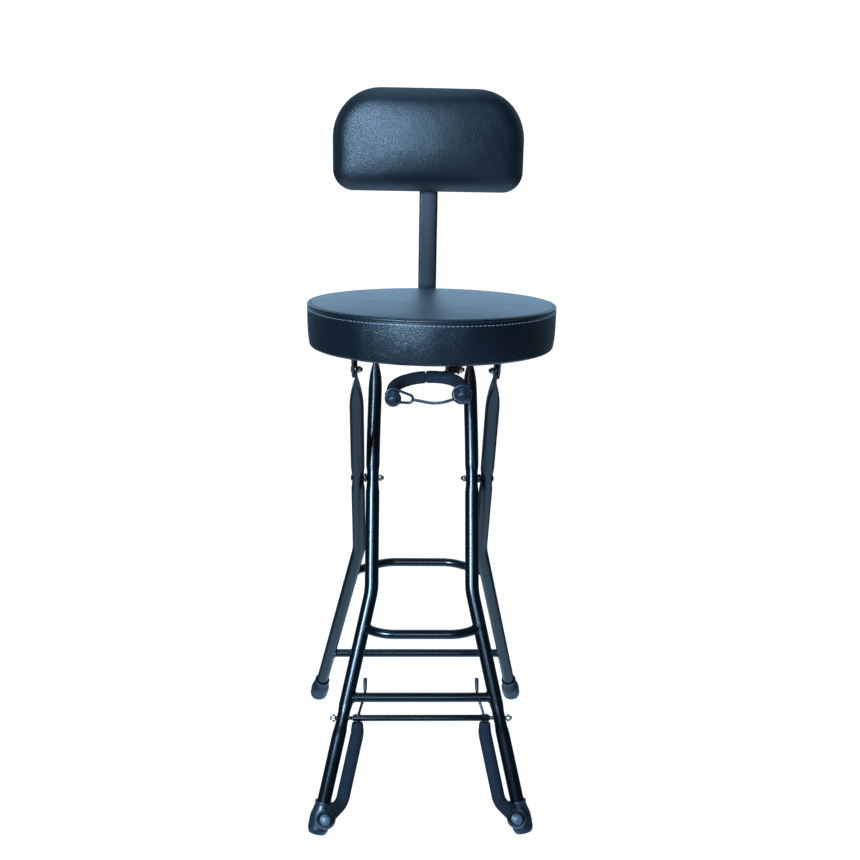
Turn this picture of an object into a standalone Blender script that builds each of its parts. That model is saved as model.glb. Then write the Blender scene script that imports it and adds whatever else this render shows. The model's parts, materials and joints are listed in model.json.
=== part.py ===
# Folding guitar stool with a backrest, a neck yoke and a body cradle.
# Metres, +Z up, the player faces -Y. The origin is on the floor, under the middle of the stool.
import math

import bmesh
import bpy
import numpy as np
from mathutils import Matrix, Vector

# Clearances and cutting allowances
GAP = 0.0003
OVERRUN = 0.004
MERGE = 0.00005

# Scissor frames: both lean by the same angle and cross at the pivot bolts
PIVOT_HEIGHT = 0.440
PIVOT_SETBACK = -0.0070
LEG_LEAN = math.radians(22.0)
LEG_SPLAY = math.radians(12.2)
TUBE_DIAMETER = 0.019
TUBE_WALL = 0.0012
TUBE_LIFT = 0.013
FRONT_WAIST = 0.0690
FRONT_TOP = 0.0665
FRONT_BEND_DROP = 0.1546
REAR_BEND_DROP = 0.134
LEG_LENGTH = PIVOT_HEIGHT / math.cos(LEG_LEAN)
BEND_RADIUS = 0.090
CRIMP_THICKNESS = 0.0168
CRIMP_REACH = 0.018
TONGUE_THICKNESS = 0.0036
TONGUE_WIDTH = 0.026
TONGUE_END = 0.0125
TONGUE_REACH = 0.0150
TONGUE_TAPER = 0.0470
TONGUE_SHOULDER_POWER = 2.5
HINGE_RISE = 0.1796
LATCH_LEAD = 0.0054
LATCH_RISE = HINGE_RISE + LATCH_LEAD
PIVOT_SPACER = 0.0032
PIVOT_SPACER_DIAMETER = 0.012
REAR_WAIST = FRONT_WAIST + CRIMP_THICKNESS + PIVOT_SPACER + 2 * GAP

# Bars between the legs
CROSSBAR_DIAMETER = 0.0127
CROSSBAR_WALL = 0.0012
REAR_UPPER_DROP = 0.1822
REAR_UPPER_BOW = 0.036
REAR_UPPER_FLAT = 0.050
REAR_LOWER_RISE = 0.1074
REAR_LOWER_DROP = LEG_LENGTH - REAR_LOWER_RISE
FOOTREST_DROP = 0.2042
FOOTREST_BOW = 0.022
FOOTREST_FLAT = 0.056
BOW_BEND_RADIUS = 0.048
FRONT_LOWER_RISE = 0.1768
FRONT_LOWER_DROP = LEG_LENGTH - FRONT_LOWER_RISE

# Rubber boots
BOOT_HEIGHT = 0.0435
BOOT_RADIUS = 0.0142
BOOT_SOLE_RADIUS = 0.0098
BOOT_SOLE_RISE = 0.0015
BOOT_TOP_RADIUS = 0.0110
BOOT_COLLAR = 0.0008
BOOT_COLLAR_HEIGHT = 0.004

# Fasteners
FRAME_BOLT_RADIUS = 0.0030
FRAME_BOLT_HEAD = 0.0050
FRAME_BOLT_HEAD_HEIGHT = 0.0024
FRAME_NUT_HEIGHT = 0.0048
LATCH_PIN_RADIUS = 0.0040
STUD_RADIUS = 0.0040
M6_RADIUS = 0.0030
M6_HEAD = 0.0050
M6_NUT_HEIGHT = 0.0045
BOLT_TAIL = 0.0025

# Latch pins
LATCH_HEAD_RADIUS = 0.0062
LATCH_HEAD_HEIGHT = 0.0030

# Body cradle on the front frame
CRADLE_RISE = 0.1497
CRADLE_DROP = LEG_LENGTH - CRADLE_RISE
CRADLE_TUBE_DIAMETER = 0.0084
CRADLE_INSET = 0.0198
CRADLE_NECK = 0.0201
CRADLE_ARM_RADIUS = 0.0030
CRADLE_ARM_RISE = 0.0404
CRADLE_ARM_DROP = CRADLE_RISE - CRADLE_ARM_RISE
CRADLE_BEND_RADIUS = 0.0125
HOOK_LENGTH = 0.040
HOOK_FLARE = math.radians(28.0)
CRADLE_FOAM_RADIUS = 0.0090
CRADLE_END_RADIUS = 0.0126
FINGER_RADIUS = 0.0018
FINGER_TOP = 0.0520
FINGER_INSET = 0.0095

# Seat
SEAT_RADIUS = 0.1651
SEAT_OFFSET = 0.0085
SEAT_CLEARANCE = 0.0225
SEAT_BOTTOM = PIVOT_HEIGHT + HINGE_RISE * math.cos(LEG_LEAN) + SEAT_CLEARANCE
SEAT_HEIGHT = 0.0555
SEAT_CROWN = 0.0055
SEAT_DRAW = 0.0026
SEAT_EDGE = 0.0042
COVER_THICKNESS = 0.0012
SEAT_BOARD_THICKNESS = 0.012
PIPING_RADIUS = 0.0021

# Brackets under the seat
EAR_THICKNESS = 0.0030
EAR_LENGTH = 0.0460
EAR_FLANGE = 0.0300
EAR_TIP_RADIUS = 0.0110
LATCH_LENGTH = 0.0440
LATCH_ROOF = 0.0100

# Backrest
POST_WIDTH = 0.0270
POST_DEPTH = 0.0130
POST_CORNER = 0.0030
POST_WALL = 0.0015
POST_CLEARANCE = 0.0309
POST_SETBACK = SEAT_RADIUS + POST_CLEARANCE
POST_HEIGHT = 0.2865
POST_TOP = SEAT_BOTTOM + POST_HEIGHT
POST_FOOT = 0.0560
POST_BEND_RADIUS = 0.0390
PLUG_HEAD = 0.0030
PLUG_DEPTH = 0.0100
SLEEVE_WALL = 0.0023
SLEEVE_PLATE = 0.0025
SLEEVE_PLATE_WIDTH = 0.0640
SEAT_SLEEVE_LENGTH = 0.0720
SEAT_SLEEVE_START = 0.0620
PAD_SLEEVE_LENGTH = 0.0500
PAD_SLEEVE_DROP = 0.0130
BOSS_RADIUS = 0.0085
BOSS_HEIGHT = 0.0050
KNOB_RADIUS = 0.0150
KNOB_HEIGHT = 0.0140
KNOB_LOBE = 0.0016
KNOB_STANDOFF = 0.0020
PAD_WIDTH = 0.2766
PAD_OFFSET = -0.0020
PAD_HEIGHT = 0.1434
PAD_RISE = 0.1955
PAD_BOTTOM = SEAT_BOTTOM + PAD_RISE
PAD_THICKNESS = 0.0490
PAD_TOP_CORNER = 0.0700
PAD_BOTTOM_CORNER = 0.0300
PAD_CROWN = 0.0080
PAD_EDGE = 0.0130
PAD_BOARD_THICKNESS = 0.009

# Neck yoke under the front of the seat
YOKE_OFFSET = -0.0100
YOKE_HALF = 0.0405
YOKE_INSET = 0.0501
YOKE_BACK = SEAT_RADIUS - YOKE_INSET
YOKE_LENGTH = 0.0700
YOKE_DROP = 0.0218
YOKE_HEIGHT = SEAT_BOTTOM - YOKE_DROP
YOKE_TILT = math.radians(7.4)
YOKE_ROLL = math.radians(4.0)
YOKE_ROD_RADIUS = 0.0030
YOKE_FOAM_RADIUS = 0.0077
YOKE_END_RADIUS = 0.0098
YOKE_COLLAR = 0.0138
YOKE_SEAM = 0.0030
YOKE_HINGE_REACH = 0.0260
YOKE_HINGE_SETBACK = 0.0250
YOKE_HINGE_BACK = YOKE_BACK - YOKE_HINGE_SETBACK
YOKE_HINGE_DROP = 0.0170
YOKE_BARREL_RADIUS = 0.0048
YOKE_BARREL_LENGTH = 0.0080
YOKE_CHEEK = 0.0020
YOKE_STEM_CLEAR = 0.0048
YOKE_BRACKET_DEPTH = 0.0160
YOKE_BRACKET_PLATE = 0.0250
STRAP_RADIUS = 0.0018
STRAP_RING = 0.0016
STRAP_MEETING = math.radians(30.0)

# Facet counts
TUBE_SIDES_SETTING = 4
BORE_SIDES_SETTING = TUBE_SIDES_SETTING - 2
ROD_SIDES_SETTING = 3
TURN_STEPS = 32
SMALL_TURN_STEPS = 16

FRONT = -1
REAR = 1
HALF_TUBE = TUBE_DIAMETER / 2
SEAT_TOP = SEAT_BOTTOM + SEAT_HEIGHT
PIVOT = Vector((0, PIVOT_SETBACK, PIVOT_HEIGHT))
X_AXIS = Vector((1, 0, 0))
Y_AXIS = Vector((0, 1, 0))
Z_AXIS = Vector((0, 0, 1))

for old in list(bpy.data.objects):
    bpy.data.objects.remove(old, do_unlink=True)

parts = bpy.data.collections.new("guitar_stool")
bpy.context.scene.collection.children.link(parts)
cutters = bpy.data.collections.new("cutters")
bpy.context.scene.collection.children.link(cutters)


def material(name, colour, roughness, metallic=0.0):
    made = bpy.data.materials.new(name)
    made.use_nodes = True
    shader = made.node_tree.nodes["Principled BSDF"]
    shader.inputs["Base Color"].default_value = (*colour, 1.0)
    shader.inputs["Roughness"].default_value = roughness
    shader.inputs["Metallic"].default_value = metallic
    return made


frame_paint = material("frame_paint", (0.012, 0.013, 0.016), 0.25)
zinc = material("zinc", (0.62, 0.63, 0.65), 0.35, 1.0)
boot_rubber = material("boot_rubber", (0.02, 0.022, 0.026), 0.7)
foam_sleeve = material("foam_sleeve", (0.016, 0.018, 0.022), 0.9)
vinyl = material("vinyl", (0.018, 0.022, 0.03), 0.45)
padding = material("padding", (0.55, 0.5, 0.36), 0.95)
plywood = material("plywood", (0.42, 0.28, 0.15), 0.7)
knob_plastic = material("knob_plastic", (0.014, 0.015, 0.018), 0.5)


# Making and joining objects
def link(obj, look=None):
    parts.objects.link(obj)
    if look is not None:
        obj.data.materials.clear()
        obj.data.materials.append(look)
    return obj


def cutter(obj):
    cutters.objects.link(obj)
    obj.hide_render = True
    obj.display_type = "WIRE"
    return obj


def from_bmesh(name, shape):
    mesh = bpy.data.meshes.new(name)
    shape.to_mesh(mesh)
    shape.free()
    return bpy.data.objects.new(name, mesh)


def bake(obj):
    """Replace an object that has modifiers, or is a curve, by its evaluated mesh in world space."""
    holder = obj.users_collection[0] if obj.users_collection else None
    if holder is None:
        bpy.context.scene.collection.objects.link(obj)
    bpy.context.view_layer.update()
    evaluated = obj.evaluated_get(bpy.context.evaluated_depsgraph_get())
    mesh = bpy.data.meshes.new_from_object(evaluated)
    mesh.transform(obj.matrix_world)
    shape = bmesh.new()
    shape.from_mesh(mesh)
    bmesh.ops.remove_doubles(shape, verts=shape.verts, dist=MERGE)
    bmesh.ops.recalc_face_normals(shape, faces=shape.faces)
    shape.to_mesh(mesh)
    shape.free()
    name = obj.name
    bpy.data.objects.remove(obj, do_unlink=True)
    mesh.name = name
    baked = bpy.data.objects.new(name, mesh)
    return baked


def combine(obj, other, operation="DIFFERENCE"):
    change = obj.modifiers.new(operation.lower(), "BOOLEAN")
    change.operation = operation
    change.object = other
    change.solver = "EXACT"
    return obj


def smooth(obj, degrees=40.0):
    obj.data.shade_smooth()
    obj.data.set_sharp_from_angle(angle=math.radians(degrees))
    return obj


def rod(name, points, radius, sides_setting=ROD_SIDES_SETTING, caps=True):
    """A round bar along a list of points."""
    curve = bpy.data.curves.new(name, "CURVE")
    curve.dimensions = "3D"
    curve.bevel_depth = radius
    curve.bevel_resolution = sides_setting
    curve.use_fill_caps = caps
    spline = curve.splines.new("POLY")
    spline.points.add(len(points) - 1)
    for knot, place in zip(spline.points, points):
        knot.co = (*place, 1.0)
    return bake(bpy.data.objects.new(name, curve))


def ring(name, centre, axis, major, minor, steps=SMALL_TURN_STEPS, sides=8, long_axis=None, stretch=0.0):
    """A torus, or an oval ring whose two halves stand apart by stretch along long_axis."""
    shape = bmesh.new()
    turn = axis.to_track_quat("Z", "Y").to_matrix()
    if long_axis is not None:
        side = axis.cross(long_axis).normalized()
        turn = Matrix((long_axis, side, axis)).transposed()
    rows = []
    for step in range(steps):
        angle = math.tau * (step + 0.5) / steps
        out = Vector((math.cos(angle), math.sin(angle), 0))
        slide = Vector((math.copysign(stretch / 2, out.x), 0, 0))
        row = []
        for side_step in range(sides):
            tilt = math.tau * side_step / sides
            place = out * (major + minor * math.cos(tilt)) + slide + Z_AXIS * minor * math.sin(tilt)
            row.append(shape.verts.new(centre + turn @ place))
        rows.append(row)
    for step in range(steps):
        here, after = rows[step], rows[(step + 1) % steps]
        for side_step in range(sides):
            beyond = (side_step + 1) % sides
            shape.faces.new((here[side_step], after[side_step], after[beyond], here[beyond]))
    bmesh.ops.recalc_face_normals(shape, faces=shape.faces)
    return from_bmesh(name, shape)


def box(name, low, high):
    shape = bmesh.new()
    bmesh.ops.create_cube(shape, size=1.0)
    low, high = Vector(low), Vector(high)
    for corner in shape.verts:
        corner.co = Vector(low[i] if corner.co[i] < 0 else high[i] for i in range(3))
    return from_bmesh(name, shape)


def cylinder(name, start, end, radius, sides=SMALL_TURN_STEPS):
    start, end = Vector(start), Vector(end)
    shape = bmesh.new()
    bmesh.ops.create_cone(shape, cap_ends=True, segments=sides, radius1=radius, radius2=radius,
                          depth=(end - start).length)
    turn = (end - start).to_track_quat("Z", "Y").to_matrix().to_4x4()
    bmesh.ops.transform(shape, matrix=Matrix.Translation((start + end) / 2) @ turn, verts=shape.verts)
    return from_bmesh(name, shape)


def turned(name, profile, origin, axis, steps=SMALL_TURN_STEPS, closed=True, wall=0.0):
    """A turned shape: profile holds (radius, height) pairs from top to bottom."""
    outline = bmesh.new()
    knots = [outline.verts.new((radius, 0, height)) for radius, height in profile]
    for first, second in zip(knots, knots[1:]):
        outline.edges.new((first, second))
    if closed:
        outline.edges.new((knots[-1], knots[0]))
    obj = from_bmesh(name, outline)
    screw = obj.modifiers.new("screw", "SCREW")
    screw.steps = steps
    screw.render_steps = steps
    screw.use_merge_vertices = True
    screw.merge_threshold = MERGE
    if wall:
        shell = obj.modifiers.new("shell", "SOLIDIFY")
        shell.thickness = wall
        shell.offset = -1
    obj.matrix_world = Matrix.Translation(origin) @ axis.to_track_quat("Z", "Y").to_matrix().to_4x4()
    return bake(obj)


def plate(name, outline, thickness, matrix, holes=()):
    """A flat outline with round holes, extruded about its middle plane."""
    curve = bpy.data.curves.new(name, "CURVE")
    curve.dimensions = "2D"
    curve.fill_mode = "BOTH"
    curve.extrude = thickness / 2
    for loop in (outline, *holes):
        spline = curve.splines.new("POLY")
        spline.points.add(len(loop) - 1)
        for knot, place in zip(spline.points, loop):
            knot.co = (place[0], place[1], 0, 1)
        spline.use_cyclic_u = True
    obj = bpy.data.objects.new(name, curve)
    obj.matrix_world = matrix
    return bake(obj)


def fused(name, objects):
    """Several overlapping solids joined to one body."""
    first = objects[0]
    for other in objects[1:]:
        cutter(other)
        combine(first, other, "UNION")
    first.name = name
    return bake(first)


def mirrored(name, obj):
    mesh = obj.data.copy()
    mesh.transform(Matrix.Scale(-1, 4, X_AXIS))
    mesh.flip_normals()
    return bpy.data.objects.new(name, mesh)


def arc_points(points, radius, steps=4):
    """A list of corner points with each inner corner rounded by an arc."""
    out = [Vector(points[0])]
    for before, corner, after in zip(points, points[1:], points[2:]):
        back = (Vector(before) - Vector(corner)).normalized()
        ahead = (Vector(after) - Vector(corner)).normalized()
        half = back.angle(ahead) / 2
        reach = radius / math.tan(half)
        centre = Vector(corner) + (back + ahead).normalized() * (radius / math.sin(half))
        start = Vector(corner) + back * reach - centre
        end = Vector(corner) + ahead * reach - centre
        sweep = start.angle(end)
        for step in range(steps + 1):
            share = step / steps
            blend = start * math.sin((1 - share) * sweep) + end * math.sin(share * sweep)
            out.append(centre + blend / math.sin(sweep))
    out.append(Vector(points[-1]))
    return out


def smooth_step(share):
    share = min(max(share, 0.0), 1.0)
    return share * share * (3 - 2 * share)


# Frame planes: "drop" runs down the leg from the pivot, "proud" stands out towards the frame's own side
def down_leg(side):
    return Vector((0, side * math.sin(LEG_LEAN), -math.cos(LEG_LEAN)))


def proud_of(side):
    return Vector((0, side * math.cos(LEG_LEAN), math.sin(LEG_LEAN)))


def in_frame(side, x, drop, proud=0.0):
    return PIVOT + X_AXIS * x + down_leg(side) * drop + proud_of(side) * proud


def leg_offset(side, drop):
    """Half the distance between a frame's leg centres at a drop below the pivot."""
    waist, corner = (FRONT_WAIST, FRONT_BEND_DROP) if side == FRONT else (REAR_WAIST, REAR_BEND_DROP)
    tangent = BEND_RADIUS * math.tan(LEG_SPLAY / 2)
    if drop < corner - tangent:
        if side == REAR:
            return waist
        lean_in = smooth_step((-drop - CRIMP_REACH) / (LATCH_RISE - TONGUE_REACH - CRIMP_REACH))
        return waist + (FRONT_TOP - waist) * lean_in
    along = drop - (corner - tangent)
    if along < BEND_RADIUS * math.sin(LEG_SPLAY):
        return waist + BEND_RADIUS - math.sqrt(BEND_RADIUS ** 2 - along ** 2)
    return waist + (drop - corner) * math.tan(LEG_SPLAY)


def leg_end_drop():
    return (PIVOT_HEIGHT - TUBE_LIFT) / math.cos(LEG_LEAN)


def squeeze(side, drop, centre_drops):
    """Thickness and width of the tube at a drop: round, crimped at a bolt, or flat at the top."""
    rise = HINGE_RISE if side == REAR else LATCH_RISE
    thick, wide = TUBE_DIAMETER, TUBE_DIAMETER
    for place in centre_drops:
        near = 1 - smooth_step((abs(drop - place) - CRIMP_REACH / 2) / (CRIMP_REACH / 2))
        thick += (CRIMP_THICKNESS - TUBE_DIAMETER) * near
        wide += (TUBE_DIAMETER - CRIMP_THICKNESS) * near / 2
    shoulder = min(max((drop + rise - TONGUE_REACH) / TONGUE_TAPER, 0.0), 1.0)
    flat = (1 - shoulder) ** TONGUE_SHOULDER_POWER
    thick += (TONGUE_THICKNESS - TUBE_DIAMETER) * flat
    wide += (TONGUE_WIDTH - TUBE_DIAMETER) * flat
    past_bolt = (-drop - rise) / TONGUE_END
    if past_bolt > 0:
        wide *= math.sqrt(max(1 - past_bolt ** 2, 0.16))
    return thick, wide


def leg_solid(name, side, hand, radius, crimps, start, end, sides_setting, wall=0.0):
    """The leg's tube, first round, then pressed flat where it is bolted."""
    rise = HINGE_RISE if side == REAR else LATCH_RISE
    corner = FRONT_BEND_DROP if side == FRONT else REAR_BEND_DROP
    reach = BEND_RADIUS * math.tan(LEG_SPLAY / 2)
    stations = {start, end}
    for share in (0.3, 0.62, 0.86):
        stations.add(-rise - TONGUE_END * share)
    stations.add(-rise + TONGUE_REACH)
    for share in (0.1, 0.2, 0.35, 0.5, 0.7, 1.0):
        stations.add(-rise + TONGUE_REACH + TONGUE_TAPER * share)
    for place in crimps:
        for share in (-1, -0.5, 0.5, 1):
            stations.add(place + CRIMP_REACH * share)
    for share in (-1, -0.5, 0, 0.5, 1):
        stations.add(corner + reach * share)
    drops = sorted(drop for drop in stations if start <= drop <= end)
    points = [in_frame(side, hand * leg_offset(side, drop), drop) for drop in drops]
    obj = rod(name, points, radius, sides_setting)
    plane = proud_of(side)
    along = down_leg(side)
    for corner_point in obj.data.vertices:
        place = corner_point.co - PIVOT
        drop = min(max(place.dot(along), start), end)
        across = place.x - hand * leg_offset(side, drop)
        proud = place.dot(plane)
        thick, wide = squeeze(side, drop, crimps)
        across_share = max((thick - 2 * wall) / (TUBE_DIAMETER - 2 * wall), 0.02)
        proud_share = max((wide - 2 * wall) / (TUBE_DIAMETER - 2 * wall), 0.02)
        corner_point.co = corner_point.co + X_AXIS * across * (across_share - 1) + plane * proud * (proud_share - 1)
    return obj


def bolt_hole(name, centre, half_length, radius):
    return cutter(cylinder(name, Vector(centre) - X_AXIS * half_length, Vector(centre) + X_AXIS * half_length, radius))


# Legs
crimp_drops = {FRONT: (0.0, CRADLE_DROP), REAR: (0.0,)}
leg_covers = {}
for side, frame_name in ((FRONT, "front"), (REAR, "rear")):
    rise = HINGE_RISE if side == REAR else LATCH_RISE
    for hand, hand_name in ((-1, "left"), (1, "right")):
        name = f"{frame_name}_leg_{hand_name}"
        leg = leg_solid(name, side, hand, HALF_TUBE, crimp_drops[side], -rise - TONGUE_END, leg_end_drop(),
                        TUBE_SIDES_SETTING)
        bore = cutter(leg_solid(name + "_bore", side, hand, HALF_TUBE - TUBE_WALL, crimp_drops[side],
                                -rise + TONGUE_REACH + TONGUE_TAPER * 0.2, leg_end_drop() + OVERRUN,
                                BORE_SIDES_SETTING, TUBE_WALL))
        leg_covers[name] = cutter(leg_solid(name + "_cover", side, hand, HALF_TUBE + GAP, crimp_drops[side],
                                            -HINGE_RISE, leg_end_drop(), TUBE_SIDES_SETTING))
        end_hole = FRAME_BOLT_RADIUS if side == REAR else LATCH_PIN_RADIUS
        holes = [(0.0, FRAME_BOLT_RADIUS), (-rise, end_hole)]
        if side == FRONT:
            holes.append((CRADLE_DROP, M6_RADIUS))
        link(leg, frame_paint)
        combine(leg, bore)
        for drop, radius in holes:
            place = in_frame(side, hand * leg_offset(side, drop), drop)
            combine(leg, bolt_hole(name + "_hole", place, TUBE_DIAMETER, radius + GAP))
        smooth(leg)


# Bars between the legs: straight or bowed level towards the frame's own side
def crossbar(name, side, drop, bow=0.0, flat=0.0):
    half = leg_offset(side, drop)
    if bow:
        mid = in_frame(side, 0, drop) + Y_AXIS * side * bow
        left_end, right_end = in_frame(side, -half, drop), in_frame(side, half, drop)
        corners = [left_end, mid - X_AXIS * flat, mid + X_AXIS * flat, right_end]
        points = arc_points(corners, BOW_BEND_RADIUS)
    else:
        points = [in_frame(side, -half, drop), in_frame(side, half, drop)]
    bar = link(rod(name, points, CROSSBAR_DIAMETER / 2, TUBE_SIDES_SETTING), frame_paint)
    combine(bar, cutter(rod(name + "_bore", points, CROSSBAR_DIAMETER / 2 - CROSSBAR_WALL, BORE_SIDES_SETTING)))
    frame_name = "front" if side == FRONT else "rear"
    for hand_name in ("left", "right"):
        combine(bar, leg_covers[f"{frame_name}_leg_{hand_name}"])
    return smooth(bar)


crossbar("rear_upper_crossbar", REAR, REAR_UPPER_DROP, REAR_UPPER_BOW, REAR_UPPER_FLAT)
crossbar("rear_lower_crossbar", REAR, REAR_LOWER_DROP)
crossbar("footrest_bar", FRONT, FOOTREST_DROP, FOOTREST_BOW, FOOTREST_FLAT)
crossbar("front_lower_crossbar", FRONT, FRONT_LOWER_DROP)


# Boots, turned square to the leg's axis and cut level where they stand on the floor
def boot(name, side, hand):
    foot = in_frame(side, hand * leg_offset(side, LEG_LENGTH), LEG_LENGTH)
    up = (-down_leg(side) - X_AXIS * hand * math.tan(LEG_SPLAY)).normalized()
    bore_radius = HALF_TUBE + GAP
    bore_floor = (LEG_LENGTH - leg_end_drop()) / math.cos(LEG_SPLAY) - GAP
    neck = BOOT_HEIGHT - BOOT_COLLAR_HEIGHT
    profile = [
        (0, bore_floor),
        (bore_radius, bore_floor),
        (bore_radius, BOOT_HEIGHT),
        (BOOT_TOP_RADIUS + BOOT_COLLAR, BOOT_HEIGHT),
        (BOOT_TOP_RADIUS + BOOT_COLLAR, neck),
        (BOOT_TOP_RADIUS, neck),
        (BOOT_RADIUS, BOOT_HEIGHT * 0.62),
        (BOOT_RADIUS, BOOT_HEIGHT * 0.38),
        (BOOT_RADIUS * 0.93, BOOT_HEIGHT * 0.18),
        (BOOT_SOLE_RADIUS, BOOT_SOLE_RISE),
        (0, BOOT_SOLE_RISE),
    ]
    obj = link(turned(name, profile, foot, up, TURN_STEPS // 2, closed=False), boot_rubber)
    ground = box(name + "_floor", (foot.x - PAD_HEIGHT, foot.y - PAD_HEIGHT, -PAD_HEIGHT),
                 (foot.x + PAD_HEIGHT, foot.y + PAD_HEIGHT, 0))
    combine(obj, cutter(ground))
    return smooth(obj)


for side, frame_name in ((FRONT, "front"), (REAR, "rear")):
    for hand, hand_name in ((-1, "left"), (1, "right")):
        boot(f"{frame_name}_foot_{hand_name}", side, hand)


# Fasteners with their axis along a direction; the head's seat is at the start
def bolt(start, direction, grip, radius, head_radius, head_height):
    head = cylinder("head", start - direction * head_height, start, head_radius, 6)
    shank = cylinder("shank", start - direction * head_height / 2, start + direction * grip, radius, 12)
    return fused("bolt", [link(head), shank])


def nut(start, direction, radius, head_radius, height):
    body = cylinder("nut_body", start, start + direction * height, head_radius, 6)
    hole = cutter(cylinder("nut_hole", start - direction * height, start + direction * height * 2, radius + GAP, 12))
    return bake(combine(link(body), hole))


def washer(start, direction, radius, outer, thickness):
    body = cylinder("washer", start, start + direction * thickness, outer, SMALL_TURN_STEPS)
    hole = cutter(cylinder("washer_hole", start - direction * thickness, start + direction * thickness * 2,
                           radius + GAP, 12))
    return bake(combine(link(body), hole))


def pair(name, maker, look=zinc):
    """The same fastener on the right and, mirrored, on the left."""
    right = maker()
    left = mirrored(name + "_left", right)
    right.name = name + "_right"
    for obj in (right, left):
        smooth(link(obj, look), 30.0)


half_crimp = CRIMP_THICKNESS / 2
pivot_head = PIVOT + X_AXIS * (REAR_WAIST + half_crimp + GAP)
pivot_nut = PIVOT + X_AXIS * (FRONT_WAIST - half_crimp - GAP)
pivot_grip = (pivot_head - pivot_nut).length + FRAME_NUT_HEIGHT + BOLT_TAIL
pair("pivot_bolt", lambda: bolt(pivot_head, -X_AXIS, pivot_grip, FRAME_BOLT_RADIUS, FRAME_BOLT_HEAD,
                                FRAME_BOLT_HEAD_HEIGHT))
pair("pivot_nut", lambda: nut(pivot_nut, -X_AXIS, FRAME_BOLT_RADIUS, FRAME_BOLT_HEAD, FRAME_NUT_HEIGHT))
spacer_start = PIVOT + X_AXIS * (FRONT_WAIST + half_crimp + GAP)
pair("pivot_spacer", lambda: washer(spacer_start, X_AXIS, FRAME_BOLT_RADIUS, PIVOT_SPACER_DIAMETER / 2,
                                    PIVOT_SPACER), frame_paint)

# Seat: its centre stands over the pivots, a little to the right of the frames' middle
seat_centre = Vector((SEAT_OFFSET, PIVOT_SETBACK, 0))
board_radius = SEAT_RADIUS - SEAT_DRAW - COVER_THICKNESS - GAP
board_top = SEAT_BOTTOM + SEAT_BOARD_THICKNESS
seat_board = cylinder("seat_board", seat_centre + Z_AXIS * SEAT_BOTTOM, seat_centre + Z_AXIS * board_top,
                      board_radius, TURN_STEPS)
smooth(link(seat_board, plywood))


def seat_outline(inset, low, pole):
    """The cushion's half section from the middle of its top to the lower edge of its side."""
    radius = SEAT_RADIUS - inset
    top = SEAT_TOP - inset
    return [
        (pole, top + SEAT_CROWN),
        (radius * 0.5, top + SEAT_CROWN * 0.8),
        (radius * 0.82, top + SEAT_CROWN * 0.3),
        (radius - SEAT_EDGE, top),
        (radius - SEAT_DRAW / 2, top - SEAT_EDGE * 1.3),
        (radius, top - SEAT_HEIGHT * 0.38),
        (radius - SEAT_DRAW * 0.2, top - SEAT_HEIGHT * 0.62),
        (radius - SEAT_DRAW * 0.7, top - SEAT_HEIGHT * 0.85),
        (radius - SEAT_DRAW, low),
    ]


cover = turned("seat_cover", seat_outline(0, SEAT_BOTTOM, 0), seat_centre, Z_AXIS, TURN_STEPS, closed=False,
               wall=COVER_THICKNESS)
smooth(link(cover, vinyl))
foam_inset = COVER_THICKNESS + GAP
foam_outline = seat_outline(foam_inset, board_top + GAP, 0) + [(0, board_top + GAP)]
smooth(link(turned("seat_foam", foam_outline, seat_centre, Z_AXIS, TURN_STEPS, closed=False), padding))
bead_reach = PIPING_RADIUS + 2 * GAP
bead_slope = math.atan2(SEAT_EDGE - SEAT_DRAW / 2, SEAT_EDGE * 1.3)
bead_radius = SEAT_RADIUS - (SEAT_EDGE + SEAT_DRAW / 2) / 2 + bead_reach * math.cos(bead_slope)
bead_height = SEAT_TOP - SEAT_EDGE * 0.65 + bead_reach * math.sin(bead_slope)
piping = ring("seat_piping", seat_centre + Z_AXIS * bead_height, Z_AXIS, bead_radius, PIPING_RADIUS, TURN_STEPS, 6)
smooth(link(piping, vinyl), 70.0)


# Brackets under the seat: a cheek beside the tube's tongue and a flange turned inwards over it
def under_seat(x, y, below=0.0):
    return Vector((x, y, SEAT_BOTTOM - GAP - below))


def cheek_bracket(name, hand, side, outline, length, slots=()):
    """An L of sheet steel: the cheek's outline holds (y, depth below the flange's top)."""
    rise = HINGE_RISE if side == REAR else LATCH_RISE
    eye = in_frame(side, hand * leg_offset(side, -rise), -rise)
    inner = abs(eye.x) + TONGUE_THICKNESS / 2 + GAP
    flat = Matrix.Translation((hand * (inner + EAR_THICKNESS / 2), eye.y, under_seat(0, 0).z))
    turn = Matrix(((0, 0, 1, 0), (1, 0, 0, 0), (0, 1, 0, 0), (0, 0, 0, 1)))
    cheek = plate(name, outline, EAR_THICKNESS, flat @ turn)
    low_x, high_x = sorted((hand * (inner + EAR_THICKNESS), hand * (inner + EAR_THICKNESS - EAR_FLANGE)))
    flange = box(name + "_flange", (low_x, eye.y - length / 2, under_seat(0, 0).z - EAR_THICKNESS),
                 (high_x, eye.y + length / 2, under_seat(0, 0).z))
    made = fused(name, [link(cheek), flange])
    made = link(made, frame_paint)
    for slot in slots:
        combine(made, slot(eye, hand))
    return made, eye


def eye_arc(centre_depth, radius, start, end, steps=6):
    """Points on an arc round the bolt, angles measured from +Y towards -Z."""
    found = []
    for step in range(steps + 1):
        angle = start + (end - start) * step / steps
        found.append((radius * math.cos(angle), -centre_depth - radius * math.sin(angle)))
    return found


hinge_eye = in_frame(REAR, REAR_WAIST, -HINGE_RISE)
latch_eye = in_frame(FRONT, FRONT_TOP, -LATCH_RISE)
bracket_top = under_seat(0, 0).z
hinge_depth = bracket_top - hinge_eye.z
latch_depth = bracket_top - latch_eye.z

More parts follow.
